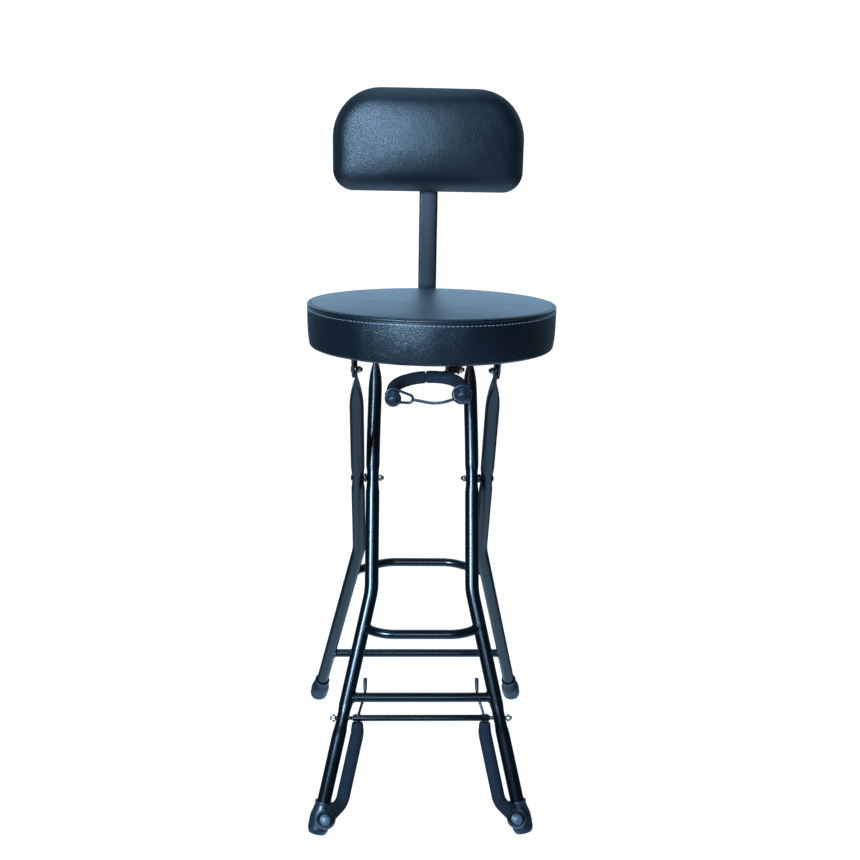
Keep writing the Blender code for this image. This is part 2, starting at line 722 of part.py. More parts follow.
ear_outline = [(-EAR_LENGTH / 2, 0), (-EAR_LENGTH / 2, -EAR_THICKNESS)]
ear_outline += eye_arc(hinge_depth, EAR_TIP_RADIUS, math.radians(160), math.radians(20))
ear_outline += [(EAR_LENGTH / 2, -EAR_THICKNESS), (EAR_LENGTH / 2, 0)]


def ear_hole(eye, hand):
    return bolt_hole("ear_hole", eye, TUBE_DIAMETER, FRAME_BOLT_RADIUS + GAP)


# The latch plate's notch holds the latch bolt from above and behind; it opens down and forwards,
# the way that the bolt leaves when the seat's rear is lifted and the legs close
notch_radius = LATCH_PIN_RADIUS + 2 * GAP
latch_outline = [(-LATCH_LENGTH / 2, 0), (-LATCH_LENGTH / 2, -EAR_THICKNESS)]
latch_outline += [(-notch_radius - LATCH_ROOF * 0.7, -latch_depth + LATCH_ROOF * 0.25)]
latch_outline += [(-notch_radius * 1.05, -latch_depth + notch_radius * 0.45)]
latch_outline += eye_arc(latch_depth, notch_radius, math.radians(206), math.radians(360), 7)
latch_outline += [(notch_radius, -latch_depth - LATCH_ROOF * 0.8)]
latch_outline += [(notch_radius + LATCH_ROOF * 0.6, -latch_depth - LATCH_ROOF * 0.8)]
latch_outline += [(notch_radius + LATCH_ROOF, -latch_depth)]
latch_outline += [(LATCH_LENGTH / 2, -EAR_THICKNESS), (LATCH_LENGTH / 2, 0)]

for hand, hand_name in ((-1, "left"), (1, "right")):
    ear, eye = cheek_bracket(f"hinge_ear_{hand_name}", hand, REAR, ear_outline, EAR_LENGTH, (ear_hole,))
    hook, eye = cheek_bracket(f"latch_hook_{hand_name}", hand, FRONT, latch_outline, LATCH_LENGTH)

tongue_face = TONGUE_THICKNESS / 2 + GAP
ear_outside = hinge_eye + X_AXIS * (tongue_face + EAR_THICKNESS + GAP)
ear_inside = hinge_eye - X_AXIS * tongue_face
hinge_grip = (ear_outside - ear_inside).length + FRAME_NUT_HEIGHT + BOLT_TAIL
pair("hinge_bolt", lambda: bolt(ear_outside, -X_AXIS, hinge_grip, FRAME_BOLT_RADIUS, FRAME_BOLT_HEAD,
                                FRAME_BOLT_HEAD_HEIGHT))
pair("hinge_nut", lambda: nut(ear_inside, -X_AXIS, FRAME_BOLT_RADIUS, FRAME_BOLT_HEAD, FRAME_NUT_HEIGHT))
latch_outside = latch_eye + X_AXIS * (tongue_face + EAR_THICKNESS + GAP)
latch_inside = latch_eye - X_AXIS * tongue_face
latch_grip = (latch_outside - latch_inside).length


def latch_pin():
    """A riveted pin: a domed head outside the plate and a peened end inside the tongue."""
    profile = [
        (0, LATCH_HEAD_HEIGHT),
        (LATCH_HEAD_RADIUS * 0.6, LATCH_HEAD_HEIGHT * 0.85),
        (LATCH_HEAD_RADIUS, LATCH_HEAD_HEIGHT * 0.3),
        (LATCH_HEAD_RADIUS, 0),
        (LATCH_PIN_RADIUS, 0),
        (LATCH_PIN_RADIUS, -latch_grip),
        (LATCH_HEAD_RADIUS * 0.9, -latch_grip),
        (LATCH_HEAD_RADIUS * 0.8, -latch_grip - LATCH_HEAD_HEIGHT * 0.6),
        (0, -latch_grip - LATCH_HEAD_HEIGHT * 0.8),
    ]
    return turned("latch_pin", profile, latch_outside, X_AXIS, closed=False)


pair("latch_pin", latch_pin)


# Body cradle: a tube turning on a threaded rod through the front legs, two padded arms and two stop fingers
cradle_axis = in_frame(FRONT, 0, CRADLE_DROP)
cradle_leg = leg_offset(FRONT, CRADLE_DROP)
cradle_half = cradle_leg - CRADLE_INSET
nut_lean = M6_HEAD * math.tan(LEG_SPLAY)
cradle_outside = cradle_leg + half_crimp + nut_lean + 2 * GAP
rod_half = cradle_outside + M6_NUT_HEIGHT + BOLT_TAIL
threaded_rod = cylinder("cradle_rod", cradle_axis - X_AXIS * rod_half, cradle_axis + X_AXIS * rod_half,
                        M6_RADIUS - GAP, 12)
smooth(link(threaded_rod, zinc))
cradle_nut_start = cradle_axis + X_AXIS * cradle_outside
pair("cradle_nut", lambda: nut(cradle_nut_start, X_AXIS, M6_RADIUS - GAP, M6_HEAD, M6_NUT_HEIGHT))
tube_half = cradle_leg - half_crimp - CRADLE_NECK / 4
tube_body = cylinder("tube_body", cradle_axis - X_AXIS * tube_half, cradle_axis + X_AXIS * tube_half,
                     CRADLE_TUBE_DIAMETER / 2)
tube_bore = cutter(cylinder("cradle_tube_bore", cradle_axis - X_AXIS * rod_half, cradle_axis + X_AXIS * rod_half,
                            M6_RADIUS, 12))

arm_end_drop = CRADLE_DROP + CRADLE_ARM_DROP
arm_splay = (CRADLE_ARM_DROP - CRADLE_NECK) * math.tan(LEG_SPLAY)
hook_way = Vector((math.sin(HOOK_FLARE), -math.cos(HOOK_FLARE), 0))
arm_start = CRADLE_DROP + CRADLE_TUBE_DIAMETER / 2 + GAP
arm_corner = in_frame(FRONT, cradle_half + arm_splay, arm_end_drop)
hook_end = arm_corner + hook_way * HOOK_LENGTH
arm_corners = [in_frame(FRONT, cradle_half, arm_start), in_frame(FRONT, cradle_half, CRADLE_DROP + CRADLE_NECK),
               arm_corner, hook_end]
arm_line = arc_points(arm_corners, CRADLE_BEND_RADIUS)
foam_line = [arm_line[0] + (arm_line[1] - arm_line[0]) * 0.1] + arm_line[1:-1]
foam_line.append(hook_end - hook_way * (CRADLE_END_RADIUS + GAP))
bore_line = [arm_line[0]] + arm_line[1:]


def end_ball(name, centre, way, ball, neck, hole, collar):
    """A rubber end cap: a round ball with a raised button, on a collar; way points out of the rod."""
    profile = [
        (0, ball * 1.10),
        (ball * 0.40, ball * 1.04),
        (ball * 0.52, ball * 0.88),
        (ball * 0.82, ball * 0.62),
        (ball, ball * 0.10),
        (ball * 0.92, -ball * 0.45),
        (neck, -ball * 0.80),
        (neck, -collar),
        (hole, -collar),
        (hole, GAP),
        (0, GAP),
    ]
    return smooth(link(turned(name, profile, centre, way, SMALL_TURN_STEPS, closed=False), boot_rubber), 50.0)


finger_drop = FRONT_LOWER_DROP
finger_back = CROSSBAR_DIAMETER / 2 + FINGER_RADIUS + 2 * GAP
finger_slope = finger_back / (CRADLE_DROP - finger_drop)
finger_way = (-down_leg(FRONT) - proud_of(FRONT) * finger_slope).normalized()
finger_root = cradle_axis + X_AXIS * cradle_half
finger_start = finger_root + finger_way * (CRADLE_TUBE_DIAMETER / 2 - 2 * GAP)
finger_knee = finger_root + finger_way * (FINGER_TOP * 0.45) - X_AXIS * FINGER_INSET * 0.8
finger_tip = finger_root + finger_way * FINGER_TOP - X_AXIS * FINGER_INSET
finger_line = [finger_start, finger_knee, finger_tip]
finger_bars = []

for hand, hand_name in ((1, "right"), (-1, "left")):
    flip = Matrix.Scale(hand, 4, X_AXIS).to_3x3()
    arm = rod(f"cradle_arm_{hand_name}", [flip @ place for place in arm_line], CRADLE_ARM_RADIUS)
    smooth(link(arm, frame_paint))
    sleeve = rod(f"cradle_foam_{hand_name}", [flip @ place for place in foam_line], CRADLE_FOAM_RADIUS,
                 TUBE_SIDES_SETTING)
    sleeve_bore = rod("sleeve_bore", [flip @ place for place in bore_line], CRADLE_ARM_RADIUS + GAP,
                      ROD_SIDES_SETTING)
    smooth(combine(link(sleeve, foam_sleeve), cutter(sleeve_bore)))
    end_ball(f"cradle_end_{hand_name}", flip @ hook_end, flip @ hook_way, CRADLE_END_RADIUS,
             CRADLE_FOAM_RADIUS * 0.9, CRADLE_ARM_RADIUS + GAP, CRADLE_END_RADIUS)
    finger_bars.append(rod("finger_bar", [flip @ place for place in finger_line], FINGER_RADIUS, BORE_SIDES_SETTING))
cradle_tube = link(fused("cradle_tube", [link(tube_body), *finger_bars]), frame_paint)
smooth(combine(cradle_tube, tube_bore))


# Neck yoke: a bent rod with two foam sleeves, hinged on a bolt below the front of the seat
def yoke_place(x, ahead, lift=0.0):
    """A point in the yoke's own plane, which drops slightly towards the front and hangs lower on the left."""
    flat = ahead * math.cos(YOKE_TILT) + lift * math.sin(YOKE_TILT)
    rise = lift * math.cos(YOKE_TILT) - ahead * math.sin(YOKE_TILT) + x * math.sin(YOKE_ROLL)
    across = SEAT_OFFSET + YOKE_OFFSET + x * math.cos(YOKE_ROLL)
    return Vector((across, PIVOT_SETBACK - YOKE_BACK - flat, YOKE_HEIGHT + rise))


def yoke_run(hand, tip=0.0, steps=6):
    """The right or left half of the yoke's centre line, from its back to a distance short of its tip."""
    turns = [math.pi / 2 * step / steps for step in range(steps + 1)]
    bend = [yoke_place(hand * YOKE_HALF * math.sin(turn), YOKE_HALF * (1 - math.cos(turn))) for turn in turns]
    return bend + [yoke_place(hand * YOKE_HALF, YOKE_LENGTH - tip)]


yoke_way = yoke_place(0, YOKE_LENGTH) - yoke_place(0, 0)
yoke_way.normalize()
yoke_line = yoke_run(-1)[::-1] + yoke_run(1)[1:]

hinge_place = Vector((SEAT_OFFSET + YOKE_HINGE_REACH, PIVOT_SETBACK - YOKE_HINGE_BACK, SEAT_BOTTOM - YOKE_HINGE_DROP))
stem_foot = yoke_place(0, 0)
stem_front = hinge_place - Y_AXIS * (YOKE_BRACKET_DEPTH / 2 + YOKE_STEM_CLEAR) - Z_AXIS * GAP
stem_turn = stem_front - X_AXIS * YOKE_BARREL_LENGTH * 1.6 - Z_AXIS * YOKE_ROD_RADIUS / 2
stem_way = (stem_turn - stem_foot).normalized()
stem_line = [stem_foot, stem_turn, stem_front, hinge_place]
stem_bar = rod("stem_bar", arc_points(stem_line, YOKE_ROD_RADIUS * 1.5, 2), YOKE_ROD_RADIUS * 0.9)
half_barrel = X_AXIS * YOKE_BARREL_LENGTH / 2
barrel = cylinder("barrel", hinge_place - half_barrel, hinge_place + half_barrel, YOKE_BARREL_RADIUS)
yoke_rod = link(rod("yoke_bend", yoke_line, YOKE_ROD_RADIUS))
yoke_rod = link(fused("yoke_rod", [yoke_rod, stem_bar, barrel]), frame_paint)
smooth(combine(yoke_rod, bolt_hole("stem_hole", hinge_place, YOKE_BARREL_LENGTH, M6_RADIUS + GAP)))
stem_clear = cutter(cylinder("stem_clear", stem_foot, stem_foot + stem_way * YOKE_FOAM_RADIUS * 3,
                             YOKE_ROD_RADIUS + GAP, 12))

for hand, hand_name in ((-1, "left"), (1, "right")):
    foam_run = [yoke_place(hand * GAP, 0), yoke_place(hand * YOKE_SEAM, 0)]
    foam_run += yoke_run(hand, YOKE_COLLAR + GAP)[1:]
    bore_run = [yoke_place(-hand * OVERRUN, 0)] + yoke_run(hand)
    sleeve = link(rod(f"yoke_foam_{hand_name}", foam_run, YOKE_FOAM_RADIUS, TUBE_SIDES_SETTING), foam_sleeve)
    combine(sleeve, cutter(rod("yoke_bore", bore_run, YOKE_ROD_RADIUS + GAP)))
    combine(sleeve, stem_clear)
    smooth(sleeve)
    end_ball(f"yoke_end_{hand_name}", yoke_place(hand * YOKE_HALF, YOKE_LENGTH), yoke_way, YOKE_END_RADIUS,
             YOKE_FOAM_RADIUS * 0.8, YOKE_ROD_RADIUS + GAP, YOKE_COLLAR)

# Rubber strap: a ring round the right end's collar, a strip, and a long loop round the left end's collar
collar_ahead = YOKE_LENGTH - (YOKE_COLLAR + YOKE_END_RADIUS * 0.8) / 2
ring_radius = YOKE_END_RADIUS + STRAP_RING + GAP
right_ring = ring("right_ring", yoke_place(YOKE_HALF, YOKE_LENGTH), yoke_way, ring_radius, STRAP_RING,
                  SMALL_TURN_STEPS, 6)
loop_inner = YOKE_FOAM_RADIUS * 0.8
loop_length = YOKE_END_RADIUS * 1.6
loop_way = (yoke_place(0, collar_ahead, -loop_inner * 0.5) - yoke_place(-YOKE_HALF, collar_ahead)).normalized()
loop_centre = yoke_place(-YOKE_HALF, collar_ahead) + loop_way * loop_length / 2
loop_axis = loop_way.cross(Z_AXIS).normalized()
left_loop = ring("left_loop", loop_centre, loop_axis, loop_inner + STRAP_RADIUS + GAP, STRAP_RADIUS,
                 SMALL_TURN_STEPS, 6, loop_way, loop_length)
strip_start = loop_centre + loop_way * (loop_length / 2 + loop_inner + STRAP_RADIUS + GAP)
strip_mid = yoke_place(YOKE_HALF * 0.25, YOKE_LENGTH + YOKE_FOAM_RADIUS * 0.4, -YOKE_FOAM_RADIUS * 0.7)
strip_end = yoke_place(YOKE_HALF, YOKE_LENGTH) - X_AXIS * (ring_radius * math.cos(STRAP_MEETING))
strip_end -= Z_AXIS * ring_radius * math.sin(STRAP_MEETING)
strip = rod("strip", arc_points([strip_start, strip_mid, strip_end], YOKE_HALF), STRAP_RADIUS, BORE_SIDES_SETTING)
smooth(link(fused("yoke_strap", [link(right_ring), strip, left_loop]), boot_rubber), 60.0)

# The yoke's bracket: a small channel hung from the seat board on a plate
bracket_half = YOKE_BARREL_LENGTH / 2 + GAP + YOKE_CHEEK
bracket_low = hinge_place.z - YOKE_BARREL_RADIUS
half_depth = YOKE_BRACKET_DEPTH / 2
base = box("yoke_bracket", (hinge_place.x - YOKE_BRACKET_PLATE, hinge_place.y - half_depth, bracket_top - YOKE_CHEEK),
           (hinge_place.x + YOKE_BRACKET_PLATE, hinge_place.y + half_depth, bracket_top))
cheeks = [box("cheek", (hinge_place.x + near, hinge_place.y - half_depth, bracket_low),
              (hinge_place.x + near + YOKE_CHEEK, hinge_place.y + half_depth, bracket_top - YOKE_CHEEK / 2))
          for near in (-bracket_half, bracket_half - YOKE_CHEEK)]
yoke_bracket = link(fused("yoke_bracket", [link(base), *cheeks]), frame_paint)
combine(yoke_bracket, bolt_hole("yoke_bracket_hole", hinge_place, bracket_half * 2, M6_RADIUS + GAP))
yoke_bolt_start = hinge_place - X_AXIS * (bracket_half + GAP)
yoke_grip = 2 * (bracket_half + GAP) + M6_NUT_HEIGHT + BOLT_TAIL
yoke_bolt = bolt(yoke_bolt_start, X_AXIS, yoke_grip, M6_RADIUS, M6_HEAD, M6_NUT_HEIGHT)
yoke_bolt.name = "yoke_hinge_bolt"
smooth(link(yoke_bolt, zinc), 30.0)
yoke_nut = nut(hinge_place + X_AXIS * (bracket_half + GAP), X_AXIS, M6_RADIUS, M6_HEAD, M6_NUT_HEIGHT)
yoke_nut.name = "yoke_hinge_nut"
smooth(link(yoke_nut, zinc), 30.0)


# Backrest post: a rectangular tube, level under the seat and upright behind it
def rounded_box(width, depth, corner, steps=2):
    found = []
    for x_sign, y_sign, start in ((1, 1, 0), (-1, 1, 1), (-1, -1, 2), (1, -1, 3)):
        for step in range(steps + 1):
            angle = math.pi / 2 * (start + step / steps)
            found.append((x_sign * (width / 2 - corner) + corner * math.cos(angle),
                          y_sign * (depth / 2 - corner) + corner * math.sin(angle)))
    return found


def swept_box(name, points, width, depth, corner):
    """A rounded rectangular bar along points in the YZ plane, its width along X."""
    shape = bmesh.new()
    rows = []
    for number, place in enumerate(points):
        before = points[max(number - 1, 0)]
        after = points[min(number + 1, len(points) - 1)]
        back = (place - before).normalized()
        ahead = (after - place).normalized()
        way = (back + ahead).normalized()
        out = way.cross(X_AXIS)
        stretch = 1.0
        if 0 < number < len(points) - 1:
            stretch = 1 / math.cos(back.angle(ahead) / 2)
        rows.append([shape.verts.new(place + X_AXIS * x + out * y * stretch)
                     for x, y in rounded_box(width, depth, corner)])
    for row, following in zip(rows, rows[1:]):
        for number in range(len(row)):
            beyond = (number + 1) % len(row)
            shape.faces.new((row[number], row[beyond], following[beyond], following[number]))
    shape.faces.new(rows[0])
    shape.faces.new(rows[-1])
    bmesh.ops.recalc_face_normals(shape, faces=shape.faces)
    return from_bmesh(name, shape)


sleeve_depth = POST_DEPTH + 2 * GAP + 2 * SLEEVE_WALL
post_level = bracket_top - SLEEVE_PLATE - sleeve_depth / 2
post_y = PIVOT_SETBACK + POST_SETBACK
post_inner = Vector((SEAT_OFFSET, PIVOT_SETBACK + POST_FOOT, post_level))
post_corner = Vector((SEAT_OFFSET, post_y, post_level))
post_head = Vector((SEAT_OFFSET, post_y, POST_TOP))
post_line = arc_points([post_inner, post_corner, post_head], POST_BEND_RADIUS, 5)
bore_line = [post_inner - Y_AXIS * OVERRUN] + post_line[1:-1] + [post_head + Z_AXIS * OVERRUN]
post = link(swept_box("backrest_post", post_line, POST_WIDTH, POST_DEPTH, POST_CORNER), frame_paint)
post_bore_width = POST_WIDTH - 2 * POST_WALL
post_bore_depth = POST_DEPTH - 2 * POST_WALL
combine(post, cutter(swept_box("post_bore", bore_line, post_bore_width, post_bore_depth, POST_CORNER / 2)))
smooth(post)


def post_plug(place, way):
    face = place + way * GAP
    head = swept_box("plug", [face, face + way * PLUG_HEAD], POST_WIDTH, POST_DEPTH, POST_CORNER)
    stub = swept_box("plug_stub", [face - way * PLUG_DEPTH, face + way * PLUG_HEAD / 2],
                     post_bore_width - 2 * GAP, post_bore_depth - 2 * GAP, POST_CORNER / 2)
    return fused("plug", [link(head), stub])


top_plug = post_plug(post_head, Z_AXIS)
top_plug.name = "post_plug"
link(top_plug, knob_plastic)


# Sleeves that hold the post: a plate screwed to a board, a rectangular sleeve and a threaded boss
def placed(centre, along, towards_board):
    """A matrix whose Z runs along the post and whose -Y points at the board."""
    across = (-towards_board).cross(along)
    return Matrix.Translation(centre) @ Matrix((across, -towards_board, along)).transposed().to_4x4()


def clamp_sleeve(name, frame, length):
    half = sleeve_depth / 2
    hole = [rounded_box(POST_WIDTH + 2 * GAP, POST_DEPTH + 2 * GAP, POST_CORNER)]
    outer = rounded_box(POST_WIDTH + 2 * GAP + 2 * SLEEVE_WALL, sleeve_depth, POST_CORNER)
    body = plate(name, outer, length, frame, hole)
    board_plate = box("board_plate", (-SLEEVE_PLATE_WIDTH / 2, -half - SLEEVE_PLATE, -length / 2),
                      (SLEEVE_PLATE_WIDTH / 2, -half + GAP, length / 2))
    board_plate.data.transform(frame)
    boss = cylinder("boss", (0, half - SLEEVE_WALL / 2, 0), (0, half + BOSS_HEIGHT, 0), BOSS_RADIUS)
    boss.data.transform(frame)
    made = link(fused(name, [link(body), board_plate, boss]), frame_paint)
    stud_hole = cylinder("stud_hole", (0, half - 2 * SLEEVE_WALL, 0), (0, half + 2 * BOSS_HEIGHT, 0),
                         STUD_RADIUS + GAP, 12)
    stud_hole.data.transform(frame)
    combine(made, cutter(stud_hole))
    return smooth(made)


def clamp_knob(name, frame):
    """A lobed knob with its stud, standing off the boss."""
    half = sleeve_depth / 2
    start = half + BOSS_HEIGHT + KNOB_STANDOFF
    lobes = [((KNOB_RADIUS + KNOB_LOBE * math.cos(6 * turn)) * math.cos(turn),
              (KNOB_RADIUS + KNOB_LOBE * math.cos(6 * turn)) * math.sin(turn))
             for turn in (math.tau * step / 36 for step in range(36))]
    face = Matrix(((1, 0, 0, 0), (0, 0, 1, start + KNOB_HEIGHT / 2), (0, -1, 0, 0), (0, 0, 0, 1)))
    handle = plate(name, lobes, KNOB_HEIGHT, frame @ face)
    stud = cylinder("stud", (0, POST_DEPTH / 2 + 2 * GAP, 0), (0, start + KNOB_HEIGHT / 2, 0), STUD_RADIUS, 12)
    stud.data.transform(frame)
    return smooth(link(fused(name, [link(handle), stud]), knob_plastic))


seat_sleeve_middle = PIVOT_SETBACK + SEAT_SLEEVE_START + SEAT_SLEEVE_LENGTH / 2
seat_sleeve_frame = placed(Vector((SEAT_OFFSET, seat_sleeve_middle, post_level)), Y_AXIS, Z_AXIS)
clamp_sleeve("post_sleeve", seat_sleeve_frame, SEAT_SLEEVE_LENGTH)
clamp_knob("depth_knob", seat_sleeve_frame)

# Back pad: board, foam and cover, on a sleeve that slides on the post
pad_x = SEAT_OFFSET + PAD_OFFSET
pad_middle = PAD_BOTTOM + PAD_HEIGHT / 2
pad_back = post_y - sleeve_depth / 2 - SLEEVE_PLATE - GAP
pad_sleeve_frame = placed(Vector((SEAT_OFFSET, post_y, pad_middle - PAD_SLEEVE_DROP)), Z_AXIS, -Y_AXIS)
clamp_sleeve("pad_sleeve", pad_sleeve_frame, PAD_SLEEVE_LENGTH)
clamp_knob("height_knob", pad_sleeve_frame)


def pad_outline(inset, steps=5):
    """The pad's front view: large round corners at the top, small ones at the bottom."""
    found = []
    top_corner = PAD_TOP_CORNER - inset
    low_corner = PAD_BOTTOM_CORNER - inset
    half_width = PAD_WIDTH / 2 - inset
    half_height = PAD_HEIGHT / 2 - inset
    for x_sign, z_sign, start in ((1, 1, 0), (-1, 1, 1), (-1, -1, 2), (1, -1, 3)):
        corner = max(top_corner if z_sign > 0 else low_corner, half_height * 0.1)
        for step in range(steps + 1):
            angle = math.pi / 2 * (start + step / steps)
            found.append((x_sign * (half_width - corner) + corner * math.cos(angle),
                          z_sign * (half_height - corner) + corner * math.sin(angle)))
    return found


def pad_loft(name, layers, open_back=False):
    """Outlines of the pad at several depths, joined; layers hold (inset, y) from the back to the front."""
    shape = bmesh.new()
    rows = []
    for inset, y in layers:
        rows.append([shape.verts.new((pad_x + x, y, pad_middle + z)) for x, z in pad_outline(inset)])
    for row, following in zip(rows, rows[1:]):
        for number in range(len(row)):
            beyond = (number + 1) % len(row)
            shape.faces.new((row[number], following[number], following[beyond], row[beyond]))
    shape.faces.new(rows[-1])
    if not open_back:
        shape.faces.new(rows[0])
    bmesh.ops.recalc_face_normals(shape, faces=shape.faces)
    return from_bmesh(name, shape)


def pad_layers(inset, back):
    """The padding's section: drawn in at the board, full at mid depth, rounded over to a crowned front."""
    front = pad_back - PAD_THICKNESS + inset
    edge = PAD_EDGE
    return [
        (inset + SEAT_DRAW, back),
        (inset, pad_back - PAD_THICKNESS * 0.35),
        (inset, front + PAD_CROWN + edge * 0.7),
        (inset + edge * 0.35, front + PAD_CROWN + edge * 0.2),
        (inset + edge, front + PAD_CROWN),
        (inset + edge * 2.2, front + PAD_CROWN * 0.5),
        (inset + edge * 3.6, front + PAD_CROWN * 0.1),
        (inset + edge * 4.6, front),
    ]


pad_cover = pad_loft("pad_cover", pad_layers(0, pad_back), open_back=True)
shell = pad_cover.modifiers.new("shell", "SOLIDIFY")
shell.thickness = COVER_THICKNESS
shell.offset = -1
smooth(link(pad_cover, vinyl))
board_front = pad_back - PAD_BOARD_THICKNESS
smooth(link(pad_loft("pad_foam", pad_layers(foam_inset, board_front - GAP)), padding))
board_inset = SEAT_DRAW + COVER_THICKNESS + GAP
smooth(link(pad_loft("pad_board", [(board_inset, pad_back), (board_inset, board_front)]), plywood))

# Joint axes: the moving pieces hang from empties that stand on their axes
def axis_empty(name, place, parent=None):
    empty = bpy.data.objects.new(name, None)
    empty.empty_display_size = TUBE_DIAMETER
    parts.objects.link(empty)
    if parent is not None:
        empty.parent = parent
        empty.location = Vector(place) - parent_place[parent.name]
    else:
        empty.location = place
    parent_place[name] = Vector(place)
    return empty


def hang(empty, names):
    for name in names:
        obj = parts.objects[name]
        obj.parent = empty
        obj.location = obj.location - parent_place[empty.name]


parent_place = {}
front_axis = axis_empty("front_frame_axis", PIVOT)
seat_axis = axis_empty("seat_axis", (0, hinge_eye.y, hinge_eye.z))
cradle_empty = axis_empty("cradle_axis", cradle_axis, front_axis)
yoke_axis = axis_empty("yoke_axis", hinge_place, seat_axis)
backrest_axis = axis_empty("backrest_slide", post_inner, seat_axis)
pad_axis = axis_empty("pad_slide", post_head, backrest_axis)
both = ("left", "right")
hang(front_axis, [f"front_{kind}_{hand}" for kind in ("leg", "foot") for hand in both]
     + [f"{kind}_{hand}" for kind in ("latch_pin", "cradle_nut") for hand in both]
     + ["footrest_bar", "front_lower_crossbar", "cradle_rod"])
hang(cradle_empty, [f"{kind}_{hand}" for kind in ("cradle_arm", "cradle_foam", "cradle_end") for hand in both]
     + ["cradle_tube"])
hang(seat_axis, ["seat_board", "seat_foam", "seat_cover", "seat_piping", "post_sleeve", "depth_knob",
                 "yoke_bracket", "yoke_hinge_bolt", "yoke_hinge_nut"]
     + [f"{kind}_{hand}" for kind in ("hinge_ear", "latch_hook", "hinge_bolt", "hinge_nut") for hand in both])
hang(yoke_axis, ["yoke_rod", "yoke_strap"]
     + [f"{kind}_{hand}" for kind in ("yoke_foam", "yoke_end") for hand in both])
hang(backrest_axis, ["backrest_post", "post_plug"])
hang(pad_axis, ["pad_sleeve", "pad_board", "pad_foam", "pad_cover", "height_knob"])
print("pieces", len([obj for obj in parts.objects if obj.type != "EMPTY"]))
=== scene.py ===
import json
import math

import bmesh
import bpy
import numpy as np
from mathutils import Matrix, Vector


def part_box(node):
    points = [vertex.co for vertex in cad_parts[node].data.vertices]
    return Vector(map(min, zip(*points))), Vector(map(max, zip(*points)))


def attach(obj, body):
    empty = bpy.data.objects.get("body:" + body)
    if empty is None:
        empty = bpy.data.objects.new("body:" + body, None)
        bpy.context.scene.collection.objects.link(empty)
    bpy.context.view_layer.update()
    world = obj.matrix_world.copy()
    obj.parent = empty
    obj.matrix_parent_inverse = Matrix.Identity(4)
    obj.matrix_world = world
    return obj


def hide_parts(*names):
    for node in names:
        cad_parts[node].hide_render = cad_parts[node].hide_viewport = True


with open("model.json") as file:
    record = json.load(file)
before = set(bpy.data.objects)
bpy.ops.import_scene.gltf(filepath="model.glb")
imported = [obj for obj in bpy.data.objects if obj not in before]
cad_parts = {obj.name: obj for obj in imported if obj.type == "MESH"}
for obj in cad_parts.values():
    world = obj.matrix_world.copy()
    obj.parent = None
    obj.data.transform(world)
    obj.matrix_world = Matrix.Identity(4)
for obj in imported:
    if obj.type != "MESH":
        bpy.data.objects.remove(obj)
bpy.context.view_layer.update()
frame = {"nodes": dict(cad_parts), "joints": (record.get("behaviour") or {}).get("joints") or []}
joints = {joint["name"]: joint for joint in frame["joints"]}
pivot = np.array(joints["leg_fold"]["pos_m"], float)
hingeEye = np.array(joints["seat_tilt"]["pos_m"], float)
cradleAxis = np.array(joints["cradle_fold"]["pos_m"], float)
yokeHinge = np.array(joints["yoke_fold"]["pos_m"], float)
xAxis = np.array((1.0, 0.0, 0.0))
yAxis = np.array((0.0, 1.0, 0.0))
zAxis = np.array((0.0, 0.0, 1.0))
handNames = {-1: "left", 1: "right"}
frameNames = {-1: "front", 1: "rear"}
feet = [(side, hand) for side in frameNames for hand in handNames]
mm = 0.001
hair = 0.3 * mm
print("frame loaded:", len(frame["nodes"]), "nodes")


# Vectors and paths
def unit(vector):
    return np.asarray(vector, float) / np.linalg.norm(vector)


def smoothStep(share):
    # From 0 to 1 with level ends: 3 x share squared - 2 x share cubed
    share = np.clip(share, 0.0, 1.0)
    return share * share * (3 - 2 * share)


def arcPath(corners, radius, steps=12):
    # Straight runs between corners, each corner rounded by a circular arc that touches both runs
    corners = [np.asarray(corner, float) for corner in corners]
    path = [corners[0]]
    for before, corner, after in zip(corners, corners[1:], corners[2:]):
        back, ahead = unit(before - corner), unit(after - corner)
        half = math.acos(np.clip(back @ ahead, -1, 1)) / 2
        centre = corner + unit(back + ahead) * radius / math.sin(half)
        start = corner + back * radius / math.tan(half) - centre
        end = corner + ahead * radius / math.tan(half) - centre
        sweep = math.acos(np.clip(unit(start) @ unit(end), -1, 1))
        for step in range(steps + 1):
            share = step / steps
            path.append(centre + (start * math.sin((1 - share) * sweep) + end * math.sin(share * sweep))
                        / math.sin(sweep))
    path.append(corners[-1])
    return np.array(path)


def pathLengths(path):
    # The distance along the path from its start to each point
    return np.concatenate(([0], np.cumsum(np.linalg.norm(np.diff(path, axis=0), axis=1))))


def evenPath(path, spacing):
    # The same polyline with its points moved to even steps along its length
    path = np.asarray(path, float)
    reach = pathLengths(path)
    count = max(int(round(reach[-1] / spacing)), 2) + 1
    places = np.linspace(0, reach[-1], count)
    return np.stack([np.interp(places, reach, path[:, axis]) for axis in range(3)], axis=1)


def evenTurns(count):
    # Angles in even steps round a full turn
    return np.linspace(0, math.tau, count, endpoint=False)


def circle(sides, radius=1.0):
    # Radius x (cos, sin) at even turns
    angles = evenTurns(sides)
    return np.stack((np.cos(angles), np.sin(angles)), axis=1) * radius


def roundedRectangle(halfWidth, halfHeight, upper, lower, steps=6):
    # Anticlockwise, with one radius for the two upper corners and one for the two lower ones
    outline = []
    for number, (xSign, ySign) in enumerate(((1, 1), (-1, 1), (-1, -1), (1, -1))):
        corner = upper if ySign > 0 else lower
        for angle in math.pi / 2 * number + np.linspace(0, math.pi / 2, steps + 1):
            outline.append((xSign * (halfWidth - corner) + corner * math.cos(angle),
                            ySign * (halfHeight - corner) + corner * math.sin(angle)))
    return np.array(outline)


